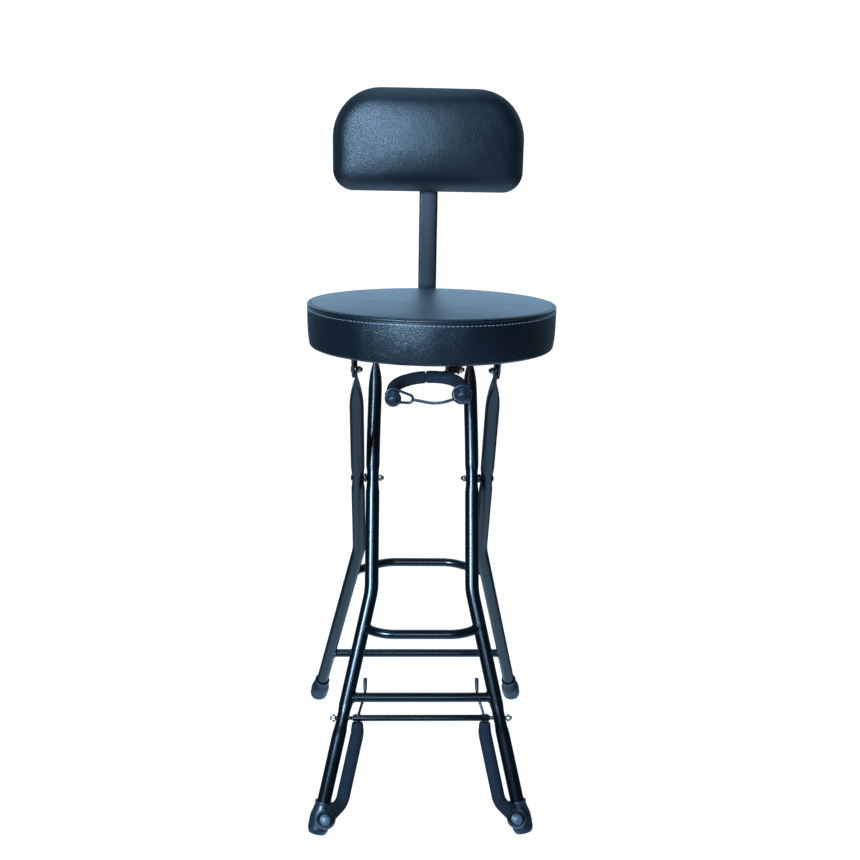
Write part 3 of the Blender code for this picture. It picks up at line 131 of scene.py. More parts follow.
def waves(points, wavelength, seed, count=7):
    # Slow waves over a surface: a sum of sine waves in seeded random directions, from -1 to 1
    source = np.random.default_rng(seed)
    directions = source.normal(size=(count, 3))
    directions /= np.linalg.norm(directions, axis=1)[:, None]
    pitches = math.tau / wavelength * source.uniform(0.7, 1.5, count)
    phases = source.uniform(0, math.tau, count)
    return np.sin(points @ (directions * pitches[:, None]).T + phases).sum(axis=-1) / count


# Shells: a shell is a list of points and a list of faces
def gridShell(rows, caps=(True, True)):
    # Rings of points, each joined to the next by quads; caps close the first and the last ring
    rows = np.asarray(rows, float)
    count, sides = rows.shape[:2]
    index = np.arange(count * sides).reshape(count, sides)
    ahead = np.roll(index, -1, axis=1)
    faces = np.stack((index[:-1], ahead[:-1], ahead[1:], index[1:]), axis=-1).reshape(-1, 4).tolist()
    if caps[0]:
        faces.append(list(range(sides))[::-1])
    if caps[1]:
        faces.append(list(range((count - 1) * sides, count * sides)))
    return rows.reshape(-1, 3), faces


def sweepShell(path, section, side=xAxis):
    # The section, one or one per point, carried along the path and turned as little as possible
    path = np.asarray(path, float)
    sections = np.broadcast_to(section, (len(path), *np.shape(section)[-2:]))
    tangents = np.gradient(path, axis=0)
    rows = []
    for place, tangent, ring in zip(path, tangents, sections):
        tangent = unit(tangent)
        side = unit(side - tangent * (side @ tangent))
        other = np.cross(tangent, side)
        rows.append(place + ring[:, :1] * side + ring[:, 1:] * other)
    return gridShell(rows)


def basis(axis):
    # Two directions across the axis and the axis itself, all at right angles
    axis = unit(axis)
    side = unit(np.cross(axis, xAxis if abs(axis[0]) < 0.9 else yAxis))
    return side, np.cross(axis, side), axis


def polarRow(centre, side, other, angles, reach):
    # Reach x (cos of the angle along side + sin of the angle along other) round the centre
    return centre + (reach * np.cos(angles))[:, None] * side + (reach * np.sin(angles))[:, None] * other


def turnedShell(profile, centre, axis, sides, caps=(True, True)):
    # Profile holds (radius, height along the axis) and is turned about the axis
    side, other, along = basis(axis)
    ring = circle(sides)
    rows = [centre + along * height + radius * (ring[:, :1] * side + ring[:, 1:] * other)
            for radius, height in profile]
    return gridShell(rows, caps=caps)


def ringShell(centre, axis, major, minor, steps=64, sides=16, longWay=None, stretch=0.0, far=1.0):
    # A torus; with longWay, its two halves are drawn apart into an oval whose far half is smaller
    side, other, along = basis(axis)
    if longWay is not None:
        side = unit(longWay)
        other = np.cross(along, side)
    rows = []
    for angle in (np.arange(steps) + 0.5) / steps * math.tau:
        out = math.cos(angle) * side + math.sin(angle) * other
        size = far if math.cos(angle) > 0 else 1.0
        drawn = math.copysign(stretch / 2, math.cos(angle)) + major * (1 - size)
        ring = circle(sides, minor)
        rows.append(centre + out * major * size + side * drawn + ring[:, :1] * out + ring[:, 1:] * along)
    rows.append(rows[0])
    return gridShell(rows, caps=(False, False))


def roundedProfile(corners, radius, steps=4):
    # A turned profile with its inner corners rounded
    corners = [np.array(corner, float) for corner in corners]
    path = [corners[0]]
    for before, corner, after in zip(corners, corners[1:], corners[2:]):
        reach = min(radius, np.linalg.norm(before - corner) * 0.45, np.linalg.norm(after - corner) * 0.45)
        start, end = corner + unit(before - corner) * reach, corner + unit(after - corner) * reach
        for share in np.linspace(0, 1, steps + 1):
            path.append((1 - share) ** 2 * start + 2 * share * (1 - share) * corner + share ** 2 * end)
    return path + [corners[-1]]


# Materials
def colour(code):
    # An sRGB hex code as linear red, green, blue and alpha
    channels = [int(code[start:start + 2], 16) / 255 for start in (1, 3, 5)]
    linear = [part / 12.92 if part <= 0.04045 else ((part + 0.055) / 1.055) ** 2.4 for part in channels]
    return (*linear, 1.0)


def addNode(tree, kind, output, inputs=None, **settings):
    # Adds a node and gives back one of its outputs; each input is a value or the output that feeds it
    node = tree.nodes.new("ShaderNode" + kind)
    for key, value in settings.items():
        setattr(node, key, value)
    for key, value in (inputs or {}).items():
        if isinstance(value, bpy.types.NodeSocket):
            tree.links.new(value, node.inputs[key])
        else:
            node.inputs[key].default_value = value
    return node.outputs[output]


def newMaterial(name, code, roughness, metallic=0.0, ior=1.5):
    material = bpy.data.materials.new(name)
    material.use_nodes = True
    tree = material.node_tree
    shader = tree.nodes["Principled BSDF"]
    shader.inputs["Base Color"].default_value = colour(code)
    shader.inputs["Roughness"].default_value = roughness
    shader.inputs["Metallic"].default_value = metallic
    shader.inputs["IOR"].default_value = ior
    return material, tree, shader, addNode(tree, "TexCoord", "Object")


def wire(tree, shader, base=None, rough=None, normal=None):
    for socket, value in (("Base Color", base), ("Roughness", rough), ("Normal", normal)):
        if value is not None:
            tree.links.new(value, shader.inputs[socket])


noiseSpan = {"From Min": 0.3, "From Max": 0.7}  # nearly all of a noise's values lie in this span


def makePaint(name, low, high, peel):
    # Black powder coat: a cloudy gloss, with a fine orange peel that breaks up the highlights
    look = {"depth": 0.005 * mm, "patch": 40 * mm, "speck": 0.5 * mm}
    material, tree, shader, place = newMaterial(name, "#010306", low, ior=1.52)
    patches = addNode(tree, "TexNoise", "Fac", {"Vector": place, "Scale": 1 / look["patch"], "Detail": 3.0})
    peels = addNode(tree, "TexNoise", "Fac", {"Vector": place, "Scale": 1 / peel, "Detail": 1.0})
    grit = addNode(tree, "TexNoise", "Fac", {"Vector": place, "Scale": 1 / look["speck"], "Detail": 0.0})
    peeled = addNode(tree, "Bump", "Normal", {"Height": peels, "Distance": look["depth"]})
    specks = addNode(tree, "Bump", "Normal", {"Height": grit, "Distance": look["depth"] * 0.4, "Normal": peeled})
    tone = addNode(tree, "Mix", 2, {0: patches, 6: colour("#010306"), 7: colour("#03070c")}, data_type="RGBA")
    rough = addNode(tree, "MapRange", "Result", {"Value": patches, **noiseSpan, "To Min": low, "To Max": high})
    wire(tree, shader, tone, rough, specks)
    return material


def makeZinc(name, dull, bright):
    # Zinc plate: slightly cloudy metal, with fine rolling marks
    material, tree, shader, place = newMaterial(name, bright, 0.3, 1.0)
    clouds = addNode(tree, "TexNoise", "Fac", {"Vector": place, "Scale": 1 / (3 * mm), "Detail": 3.0})
    marks = addNode(tree, "TexNoise", "Fac", {"Vector": place, "Scale": 1 / (0.4 * mm), "Detail": 2.0})
    tone = addNode(tree, "Mix", 2, {0: clouds, 6: colour(dull), 7: colour(bright)}, data_type="RGBA")
    rough = addNode(tree, "MapRange", "Result", {"Value": clouds, **noiseSpan, "To Min": 0.2, "To Max": 0.38})
    wire(tree, shader, tone, rough, addNode(tree, "Bump", "Normal", {"Height": marks, "Distance": 0.01 * mm}))
    return material


def makeRubber(name, dark, light, low, high):
    # Moulded rubber with a satin skin, a little dusty on its high spots
    material, tree, shader, place = newMaterial(name, dark, low, ior=1.52)
    dust = addNode(tree, "TexNoise", "Fac", {"Vector": place, "Scale": 1 / (9 * mm), "Detail": 4.0,
                                             "Roughness": 0.6})
    skin = addNode(tree, "TexNoise", "Fac", {"Vector": place, "Scale": 1 / (0.8 * mm), "Detail": 3.0})
    tone = addNode(tree, "Mix", 2, {0: dust, 6: colour(dark), 7: colour(light)}, data_type="RGBA")
    rough = addNode(tree, "MapRange", "Result", {"Value": dust, "From Min": 0.3, "From Max": 0.75, "To Min": low,
                                                 "To Max": high})
    wire(tree, shader, tone, rough, addNode(tree, "Bump", "Normal", {"Height": skin, "Distance": 0.03 * mm}))
    return material


def makeFoam():
    # Closed-cell foam tube: matte, with open pores 0.4 to 0.8 mm wide
    material, tree, shader, place = newMaterial("closed_cell_foam", "#141d27", 0.85, ior=1.3)
    pores = addNode(tree, "TexVoronoi", "Distance", {"Vector": place, "Scale": 1 / (0.7 * mm)})
    mottled = addNode(tree, "TexNoise", "Fac", {"Vector": place, "Scale": 1 / (6 * mm), "Detail": 4.0,
                                                "Roughness": 0.6})
    lumpy = addNode(tree, "TexNoise", "Fac", {"Vector": place, "Scale": 1 / (2.5 * mm), "Detail": 3.0})
    patches = addNode(tree, "MapRange", "Result", {"Value": mottled, **noiseSpan})
    body = addNode(tree, "Mix", 2, {0: patches, 6: colour("#08121b"), 7: colour("#0f1b26")}, data_type="RGBA")
    # The pore hollows are painted a darker, greyer tone (#0a0f16): painted shade in the pores
    poreShadeMask = addNode(tree, "MapRange", "Result", {"Value": pores, "From Min": 0.0, "From Max": 0.35})
    tone = addNode(tree, "Mix", 2, {0: poreShadeMask, 6: colour("#0a0f16"), 7: body}, data_type="RGBA")
    lumps = addNode(tree, "Bump", "Normal", {"Height": lumpy, "Distance": 0.12 * mm})
    wire(tree, shader, tone,
         normal=addNode(tree, "Bump", "Normal", {"Height": pores, "Distance": 0.06 * mm, "Normal": lumps}))
    return material


def makeVinyl(name, code, lighter, grain, grainDepth, rough):
    # Upholstery vinyl: rounded pebbles between fine creases, on a skin with finer pores
    material, tree, shader, place = newMaterial(name, code, rough[0], ior=1.52)
    warp = addNode(tree, "TexNoise", "Color", {"Vector": place, "Scale": 1 / (grain * 2.2), "Detail": 1.0})
    drift = addNode(tree, "VectorMath", 0, {0: warp, 1: (0.5, 0.5, 0.5)}, operation="SUBTRACT")
    reach = addNode(tree, "VectorMath", 0, {0: drift, "Scale": grain * 1.3}, operation="SCALE")
    bent = addNode(tree, "VectorMath", 0, {0: place, 1: reach}, operation="ADD")
    pebbles = addNode(tree, "TexVoronoi", "Distance", {"Vector": bent, "Scale": 1 / grain, "Smoothness": 0.35},
                      feature="SMOOTH_F1")
    creases = addNode(tree, "MapRange", "Result", {"Value": pebbles, "From Min": 0.15, "From Max": 0.75,
                                                   "To Min": 1.0, "To Max": 0.0})
    clouds = addNode(tree, "TexNoise", "Fac", {"Vector": place, "Scale": 1 / (28 * mm), "Detail": 3.0})
    cloudy = addNode(tree, "MapRange", "Result", {"Value": clouds, **noiseSpan, "To Max": 0.6})
    tone = addNode(tree, "Mix", 2, {0: cloudy, 6: colour(code), 7: colour(lighter)}, data_type="RGBA")
    # Colour: the creases between the pebbles are painted near black (#03060a), a painted shade in the creases; the
    # pebbles keep the vinyl's cloudy tone
    creaseShadeMask = addNode(tree, "MapRange", "Result", {"Value": creases, "From Max": 0.5})
    base = addNode(tree, "Mix", 2, {0: creaseShadeMask, 6: colour("#03060a"), 7: tone}, data_type="RGBA")
    spots = addNode(tree, "TexNoise", "Fac", {"Vector": place, "Scale": 1 / (grain * 1.5), "Detail": 2.0})
    spotty = addNode(tree, "MapRange", "Result", {"Value": spots, **noiseSpan, "To Min": rough[0],
                                                  "To Max": rough[1]})
    duller = addNode(tree, "MapRange", "Result", {"Value": creases, "From Min": 0.2, "From Max": 0.9,
                                                  "To Min": 0.12, "To Max": 0.0})
    shine = addNode(tree, "Math", 0, {0: spotty, 1: duller}, operation="ADD")
    dents = addNode(tree, "TexNoise", "Fac", {"Vector": place, "Scale": 1 / (16 * mm), "Detail": 2.0})
    pores = addNode(tree, "TexNoise", "Fac", {"Vector": place, "Scale": 1 / (0.35 * mm), "Detail": 2.0})
    soft = addNode(tree, "Bump", "Normal", {"Height": dents, "Distance": 0.35 * mm})
    raised = addNode(tree, "Bump", "Normal", {"Height": creases, "Distance": grainDepth, "Normal": soft})
    wire(tree, shader, base, shine,
         addNode(tree, "Bump", "Normal", {"Height": pores, "Distance": grainDepth * 0.12, "Normal": raised}))
    return material


def makeThread():
    # Bonded polyester thread: pale twisted strands with a low sheen
    material, tree, shader, place = newMaterial("polyester_thread", "#566473", 0.6)
    strands = addNode(tree, "TexWave", "Fac", {"Vector": place, "Scale": 1 / (2.4 * mm), "Distortion": 0.6},
                      bands_direction="DIAGONAL")
    # The colour follows the strands' bump, lighter on the ridges and darker in the grooves: painted highlight and
    # shade of the twist
    tone = addNode(tree, "Mix", 2, {0: strands, 6: colour("#46535f"), 7: colour("#76858f")}, data_type="RGBA")
    wire(tree, shader, tone, normal=addNode(tree, "Bump", "Normal", {"Height": strands, "Distance": 0.05 * mm}))
    return material


def makePlywood():
    # Birch plywood: long grain along X, with darker growth lines and a few pores
    material, tree, shader, place = newMaterial("birch_plywood", "#9a7750", 0.62)
    long = addNode(tree, "Mapping", 0, {"Vector": place, "Scale": (0.06, 1.0, 1.0)})
    grain = addNode(tree, "TexNoise", "Fac", {"Vector": long, "Scale": 1 / (3.5 * mm), "Detail": 5.0,
                                              "Roughness": 0.65})
    pores = addNode(tree, "TexNoise", "Fac", {"Vector": long, "Scale": 1 / (0.7 * mm), "Detail": 2.0})
    lines = addNode(tree, "MapRange", "Result", {"Value": grain, **noiseSpan})
    tone = addNode(tree, "Mix", 2, {0: lines, 6: colour("#7d5c3a"), 7: colour("#a98761")}, data_type="RGBA")
    filled = addNode(tree, "MapRange", "Result", {"Value": pores, "From Min": 0.35, "From Max": 0.55,
                                                  "To Min": 0.35})
    base = addNode(tree, "Mix", 2, {0: filled, 6: colour("#5b4028"), 7: tone}, data_type="RGBA")
    wire(tree, shader, base, normal=addNode(tree, "Bump", "Normal", {"Height": grain, "Distance": 0.08 * mm}))
    return material


def makePlastic():
    # Moulded nylon: a fine spark-eroded texture that dulls the highlight
    material, tree, shader, place = newMaterial("moulded_plastic", "#0c1016", 0.42, ior=1.49)
    spark = addNode(tree, "TexNoise", "Fac", {"Vector": place, "Scale": 1 / (0.45 * mm), "Detail": 2.0})
    rough = addNode(tree, "MapRange", "Result", {"Value": spark, **noiseSpan, "To Min": 0.36, "To Max": 0.5})
    wire(tree, shader, rough=rough,
         normal=addNode(tree, "Bump", "Normal", {"Height": spark, "Distance": 0.03 * mm}))
    return material


def makeStage():
    # Pale matt paper, lit from within so that it stays white
    material, tree, shader, place = newMaterial("pale_paper", "#f4f6f8", 0.8)
    shader.inputs["Emission Color"].default_value = colour("#ffffff")
    shader.inputs["Emission Strength"].default_value = 0.97
    clouds = addNode(tree, "TexNoise", "Fac", {"Vector": place, "Scale": 1 / 0.8, "Detail": 2.0})
    wire(tree, shader, addNode(tree, "Mix", 2, {0: clouds, 6: colour("#5c6066"), 7: colour("#64686e")},
                               data_type="RGBA"))
    return material


paint = makePaint("gloss_powder_coat", 0.19, 0.26, 1.6 * mm)
satinPaint = makePaint("satin_powder_coat", 0.26, 0.32, 0.9 * mm)
zinc = makeZinc("zinc_plate", "#6f665d", "#b5a99c")
blackZinc = makeZinc("dark_zinc_plate", "#161c24", "#2a323c")
rubber = makeRubber("moulded_rubber", "#0a121b", "#162330", 0.30, 0.44)
# The same moulded rubber as the cradle's ends, painted lighter for their buttons: a painted highlight where the
# buttons face the lamps
buttonHighlightRubber = makeRubber("button_highlight_rubber", "#26323f", "#3a4857", 0.34, 0.46)
darkRubber = makeRubber("dark_rubber", "#02060b", "#060d15", 0.34, 0.46)
foam = makeFoam()
seatVinyl = makeVinyl("seat_vinyl", "#020910", "#050f19", 1.35 * mm, 0.16 * mm, (0.22, 0.30))
padVinyl = makeVinyl("pad_vinyl", "#020910", "#050f19", 1.35 * mm, 0.18 * mm, (0.30, 0.38))
thread = makeThread()
plywood = makePlywood()
plastic = makePlastic()


# Pieces: shells joined to one mesh, given its finish and put on a body
def addObject(name, data):
    thing = bpy.data.objects.new(name, data)
    bpy.context.scene.collection.objects.link(thing)
    return thing


def makePiece(name, shells, look, body, nodes=(), sharp=38.0):
    points, faces, start = [], [], 0
    for shellPoints, shellFaces in shells:
        points.append(shellPoints)
        faces += [[number + start for number in face] for face in shellFaces]
        start += len(shellPoints)
    mesh = bpy.data.meshes.new(name)
    mesh.from_pydata(np.concatenate(points).tolist(), [], faces)
    return finishMesh(name, mesh, look, body, nodes, sharp)


def finishMesh(name, mesh, look, body, nodes, sharp):
    shape = bmesh.new()
    shape.from_mesh(mesh)
    bmesh.ops.remove_doubles(shape, verts=shape.verts, dist=0.002 * mm)
    bmesh.ops.recalc_face_normals(shape, faces=shape.faces)
    shape.to_mesh(mesh)
    shape.free()
    mesh.shade_smooth()
    mesh.set_sharp_from_angle(angle=math.radians(sharp))
    mesh.materials.append(look)
    piece = addObject(name, mesh)
    if nodes:
        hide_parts(*nodes)
    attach(piece, body)
    return piece


def showNode(node, shells, look, body, sharp=38.0):
    return makePiece(node + "_shown", shells, look, body, (node,), sharp)


def refineNode(node, look, body, bevel):
    # A pressed or moulded piece: the frame's own shape with its edges rounded
    shape = bmesh.new()
    shape.from_mesh(frame["nodes"][node].data)
    bmesh.ops.remove_doubles(shape, verts=shape.verts, dist=0.01 * mm)
    bmesh.ops.dissolve_limit(shape, angle_limit=math.radians(1.0), verts=shape.verts, edges=shape.edges)
    edges = [edge for edge in shape.edges if len(edge.link_faces) == 2 and edge.calc_face_angle() > math.radians(35)]
    bmesh.ops.bevel(shape, geom=edges, offset=bevel, offset_type="OFFSET", segments=2, profile=0.5, affect="EDGES",
                    clamp_overlap=True)
    mesh = bpy.data.meshes.new(node + "_shown")
    shape.to_mesh(mesh)
    shape.free()
    return finishMesh(node + "_shown", mesh, look, body, (node,), 30.0)


# Frame planes: drop runs down a leg from the pivot, proud stands out towards the frame's own side
legLean = math.atan2(pivot[1] - hingeEye[1], hingeEye[2] - pivot[2])
legSplay = math.radians(12.2)
tubes = {"radius": 9.5 * mm, "lift": 13 * mm, "frontWaist": 69 * mm, "frontTop": 66.5 * mm, "bendRadius": 90 * mm,
         "spacer": 3.2 * mm, "crimpThickness": 16.8 * mm, "crimpReach": 18 * mm, "tongueThickness": 3.6 * mm,
         "tongueWidth": 26 * mm, "tongueEnd": 12.5 * mm, "tongueReach": 18 * mm, "tongueTaper": 47 * mm}
rearWaist = tubes["frontWaist"] + tubes["crimpThickness"] + tubes["spacer"] + 2 * hair
bendDrops = {-1: 154.6 * mm, 1: 134 * mm}
latchRise = 185 * mm
rises = {-1: latchRise, 1: np.linalg.norm(hingeEye - pivot)}
legLength = pivot[2] / math.cos(legLean)
bodyNames = {-1: "front_frame", 1: "rear_frame"}


def downLeg(side):
    return np.array((0, side * math.sin(legLean), -math.cos(legLean)))


def proudOf(side):
    return np.array((0, side * math.cos(legLean), math.sin(legLean)))


def inFrame(side, x, drop):
    return pivot + xAxis * x + downLeg(side) * drop


def legOffset(side, drop):
    # Half the distance between a frame's leg centres: straight, an arc, then straight and splayed
    waist = tubes["frontWaist"] if side < 0 else rearWaist
    tangent = tubes["bendRadius"] * math.tan(legSplay / 2)
    corner = bendDrops[side]
    if drop < corner - tangent:
        if side > 0:
            return waist
        leanIn = smoothStep((-drop - tubes["crimpReach"]) / (latchRise - tubes["tongueReach"] - tubes["crimpReach"]))
        return waist + (tubes["frontTop"] - waist) * leanIn
    along = drop - (corner - tangent)
    if along < tubes["bendRadius"] * math.sin(legSplay):
        return waist + tubes["bendRadius"] - math.sqrt(tubes["bendRadius"] ** 2 - along ** 2)
    return waist + (drop - corner) * math.tan(legSplay)


def legCentre(side, hand, drop):
    return inFrame(side, hand * legOffset(side, drop), drop)


cradleDrop = np.linalg.norm(cradleAxis - pivot)
crimpDrops = {-1: (0.0, cradleDrop), 1: (0.0,)}
hingeCentre = legCentre(1, 1, -rises[1])
latchCentre = legCentre(-1, 1, -latchRise)


def legShell(side, hand):
    # A round tube, dented at its bolts and pressed flat at the top into a tongue with a round end. Each ring is
    # a superellipse of thick x wide, whose corners fill out from a circle's as the tube flattens.
    diameter = 2 * tubes["radius"]
    drops = np.concatenate((-rises[side] - tubes["tongueEnd"] * np.cos(np.linspace(0, math.pi / 2, 14)),
                            np.arange(-rises[side] + 1.5 * mm, legLength - tubes["lift"], 1.8 * mm)))
    section = circle(44).T
    rows = []
    for drop in drops:
        near = sum(1 - smoothStep((abs(drop - place) - tubes["crimpReach"] * 0.4) / (tubes["crimpReach"] * 0.75))
                   for place in crimpDrops[side])
        shoulder = min(max((drop + rises[side] - tubes["tongueReach"]) / tubes["tongueTaper"], 0.0), 1.0)
        flat = (1 - shoulder) ** 2.5
        thick = diameter + (tubes["crimpThickness"] - diameter) * near + (tubes["tongueThickness"] - diameter) * flat
        wide = diameter + (diameter - tubes["crimpThickness"]) * near / 2 + (tubes["tongueWidth"] - diameter) * flat
        past = min(max((-drop - rises[side]) / tubes["tongueEnd"], 0.0), 0.995)
        wide *= math.sqrt(1 - past ** 2)
        square = 2 / (2 + 2.5 * flat)
        across, proud = np.sign(section) * np.abs(section) ** square * ((thick / 2,), (wide / 2,))
        rows.append(legCentre(side, hand, drop) + across[:, None] * xAxis + proud[:, None] * proudOf(side))
    return gridShell(rows)


for side, hand in feet:
    showNode(f"{frameNames[side]}_leg_{handNames[hand]}", [legShell(side, hand)], paint, bodyNames[side], 50.0)
print("legs made")

# Crossbars, straight or bowed, and the weld beads where they meet the legs
bars = {"radius": 6.35 * mm, "bend": 48 * mm, "bead": 1.35 * mm, "ripples": 15}
crossbars = {
    "rear_upper_crossbar": {"side": 1, "drop": 182.2 * mm, "bow": 36 * mm, "flat": 50 * mm},
    "rear_lower_crossbar": {"side": 1, "drop": legLength - 107.4 * mm, "bow": 0, "flat": 0},
    "footrest_bar": {"side": -1, "drop": 204.2 * mm, "bow": 22 * mm, "flat": 56 * mm},
    "front_lower_crossbar": {"side": -1, "drop": legLength - 176.8 * mm, "bow": 0, "flat": 0},
}


def weldShell(start, way, radius, legPoint, legWay, legRadius):
    # A rippled bead along the line where a bar's surface meets the leg's: each point runs along the bar until
    # its distance from the leg's axis is the leg's radius, which is a quadratic in the run's length
    side, other, along = basis(way)
    rows = []
    for angle in np.linspace(0, math.tau, 91):
        out = math.cos(angle) * side + math.sin(angle) * other
        base = start + out * radius
        offset = base - legPoint
        flatOffset = offset - legWay * (offset @ legWay)
        flatWay = along - legWay * (along @ legWay)
        a, b, c = flatWay @ flatWay, 2 * flatOffset @ flatWay, flatOffset @ flatOffset - legRadius ** 2
        root = math.sqrt(max(b * b - 4 * a * c, 0.0))
        place = base + along * (-b + root) / (2 * a)
        legOut = place - legPoint
        legOut = unit(legOut - legWay * (legOut @ legWay))
        ripple = 0.82 + 0.18 * abs(math.sin(bars["ripples"] * angle / 2))
        ring = circle(12, bars["bead"] * ripple)
        rows.append(place + ring[:, :1] * unit(out + legOut) + ring[:, 1:] * unit(out - legOut))
    return gridShell(rows, caps=(False, False))


for node, size in crossbars.items():
    side, drop = size["side"], size["drop"]
    half = legOffset(side, drop)
    ends = [inFrame(side, -half, drop), inFrame(side, half, drop)]
    middle = inFrame(side, 0, drop) + yAxis * side * size["bow"]
    corners = [ends[0], middle - xAxis * size["flat"], middle + xAxis * size["flat"], ends[1]]
    path = arcPath(corners, bars["bend"]) if size["bow"] else np.linspace(ends[0], ends[1], 60)
    path = evenPath(path, 2.5 * mm)[2:-2]
    welds = []
    for hand, (end, beside) in ((-1, path[:2]), (1, path[:-3:-1])):
        legWay = unit(legCentre(side, hand, drop + 5 * mm) - legCentre(side, hand, drop - 5 * mm))
        welds.append(weldShell(end, unit(beside - end), bars["radius"], legCentre(side, hand, drop), legWay,
                               tubes["radius"]))
    showNode(node, [sweepShell(path, circle(32, bars["radius"]), zAxis)], paint, bodyNames[side])
    makePiece(node + "_welds", welds, paint, bodyNames[side])
print("crossbars and welds made")

# Boots: moulded on the leg's axis, with a rolled collar and a flat sole on the floor
boots = {"height": 43.5 * mm, "radius": 14.3 * mm, "top": 11.0 * mm, "collar": 0.8 * mm, "lip": 3.0 * mm,
         "sole": 9.9 * mm, "soleRise": 1.5 * mm}


def bootShell(side, hand):
    # The profile turned about the leg's axis, with a fine groove above the sole, cut off level at the floor
    foot = legCentre(side, hand, legLength)
    up = unit(legCentre(side, hand, legLength - 20 * mm) - foot)
    tall, wide, top, sole = boots["height"], boots["radius"], boots["top"], boots["sole"]
    profile = roundedProfile([
        (tubes["radius"] - 0.4 * mm, tall * 0.9), (tubes["radius"] + 0.2 * mm, tall - 0.8 * mm),
        (top + boots["collar"], tall), (top + boots["collar"], tall - boots["lip"]),
        (top + 0.1 * mm, tall - boots["lip"] - 0.9 * mm), (top + 0.8 * mm, tall * 0.8), (wide * 0.99, tall * 0.58),
        (wide, tall * 0.42), (wide * 0.97, tall * 0.17), (sole + 1.6 * mm, boots["soleRise"] + 0.4 * mm),
        (sole - 0.6 * mm, boots["soleRise"]), (0.3 * mm, boots["soleRise"])], 2.4 * mm, 6)
    profile = [(radius - 0.2 * mm * math.exp(-((height - tall * 0.22) / (0.5 * mm)) ** 2), height)
               for radius, height in profile]
    points, faces = turnedShell(profile, foot, up, 64)
    points[:, 2] = np.maximum(points[:, 2], 0.0)
    return points, faces


for side, hand in feet:
    showNode(f"{frameNames[side]}_foot_{handNames[hand]}", [bootShell(side, hand)], rubber, bodyNames[side], 60.0)
print("boots made")


# Fasteners: hexagons with chamfered corners, threads, washers, pipes and domed heads
def hexShell(start, way, radius, height, chamfer=0.6 * mm, hole=0.0):
    # The hexagon's corners are turned off by a cone at each end
    side, other, along = basis(way)
    angles = evenTurns(72)
    apothem = radius * math.cos(math.pi / 6)
    flats = apothem / np.cos((angles + math.pi / 6) % (math.pi / 3) - math.pi / 6)
    rows = []
    inner = max(hole, 0.2 * mm)
    for level, cut in ((0.0, inner), (0.0, apothem * 0.97), (chamfer * 0.45, radius), (height - chamfer, radius),
                       (height - chamfer * 0.3, apothem * 1.02), (height, apothem * 0.93), (height, inner)):
        rows.append(polarRow(start + along * level, side, other, angles, np.minimum(flats, cut)))
    return gridShell(rows)


def threadShell(start, way, radius, length, pitch=1.0 * mm):
    # Ridges turned on the shank, with a chamfered tip
    profile = []
    for number in range(int(length / pitch)):
        profile += [(radius * 0.9, number * pitch), (radius, (number + 0.5) * pitch)]
    profile += [(radius * 0.9, length - pitch * 0.5), (radius * 0.7, length), (0.1 * mm, length)]
    return turnedShell(profile, start, way, 28)


def washerShell(start, way, hole, outer, thickness):
    # A flat ring with its edges rounded
    return turnedShell(roundedProfile([(hole, 0), (outer, 0), (outer, thickness), (hole, thickness)], 0.25 * mm, 2),
                       start, way, 40, (False, False))


def pipeShell(middle, way, bore, outer, half):
    # A straight tube with rounded edges that reaches half to either side of its middle
    profile = roundedProfile([(bore, -half), (outer, -half), (outer, half), (bore, half)], 0.3 * mm)
    return turnedShell(profile, middle, way, 40, (False, False))


def domeShell(start, way, radius, height):
    # A rivet or pan head: flat below, an ellipse above
    turns = np.linspace(0, math.pi / 2, 10)
    profile = [(0.1 * mm, 0), (radius, 0)]
    profile += [(max(radius * math.cos(turn), 0.1 * mm), height * (0.18 + 0.82 * math.sin(turn))) for turn in turns]
    return turnedShell(profile, start, way, 36)


legBolt = {"shank": 2.8 * mm, "hex": 4.6 * mm, "head": 1.3 * mm, "nut": 4.2 * mm, "tail": 2.2 * mm}
rodBolt = {"shank": 2.8 * mm, "hex": 4.8 * mm, "head": 4.2 * mm, "nut": 4.2 * mm, "tail": 2.4 * mm}
latchPin = {"radius": 4 * mm, "head": (6.2 * mm, 3.0 * mm), "foot": (5.5 * mm, 2.4 * mm)}


def showFastener(name, head, nut, size, body, headShape, look):
    # The bolt's head stands outside head and its shank runs to the nut, with some thread past it
    way = unit(nut - head)
    length = np.linalg.norm(nut - head) + size["nut"] + size["tail"]
    showNode(name.format("bolt"), [headShape(head, -way, size["hex"], size["head"]),
                                   threadShell(head + way * 0.2 * mm, way, size["shank"], length)], look, body, 32.0)
    showNode(name.format("nut"), [hexShell(nut, way, size["hex"], size["nut"], hole=size["shank"])], zinc, body, 32.0)


halfCrimp = tubes["crimpThickness"] / 2
tongueFace = tubes["tongueThickness"] / 2 + hair
ear = 3 * mm
for hand, word in handNames.items():
    outward = xAxis * hand
    pivotHead = pivot + outward * (rearWaist + halfCrimp + hair)
    pivotNut = pivot + outward * (tubes["frontWaist"] - halfCrimp - hair)
    showFastener(f"pivot_{{}}_{word}", pivotHead, pivotNut, legBolt, "rear_frame", domeShell, blackZinc)
    spacer = pivot + outward * (tubes["frontWaist"] + halfCrimp + hair)
    showNode(f"pivot_spacer_{word}", [washerShell(spacer, outward, legBolt["shank"] + hair, 6 * mm, tubes["spacer"])],
             paint, "rear_frame")

    hingePlace = hingeCentre * (hand, 1, 1)
    showFastener(f"hinge_{{}}_{word}", hingePlace + outward * (tongueFace + ear + hair),
                 hingePlace - outward * tongueFace, legBolt, "seat", domeShell, blackZinc)

    latchPlace = latchCentre * (hand, 1, 1)
    latchHead = latchPlace + outward * (tongueFace + ear + hair)
    latchFoot = latchPlace - outward * tongueFace
    pin = [(latchPin["radius"], 0), (latchPin["radius"], np.linalg.norm(latchHead - latchFoot))]
    showNode(f"latch_pin_{word}", [
        domeShell(latchHead, outward, *latchPin["head"]), domeShell(latchFoot, -outward, *latchPin["foot"]),
        turnedShell(pin, latchFoot, outward, 32)], zinc, "front_frame")
print("fasteners made")

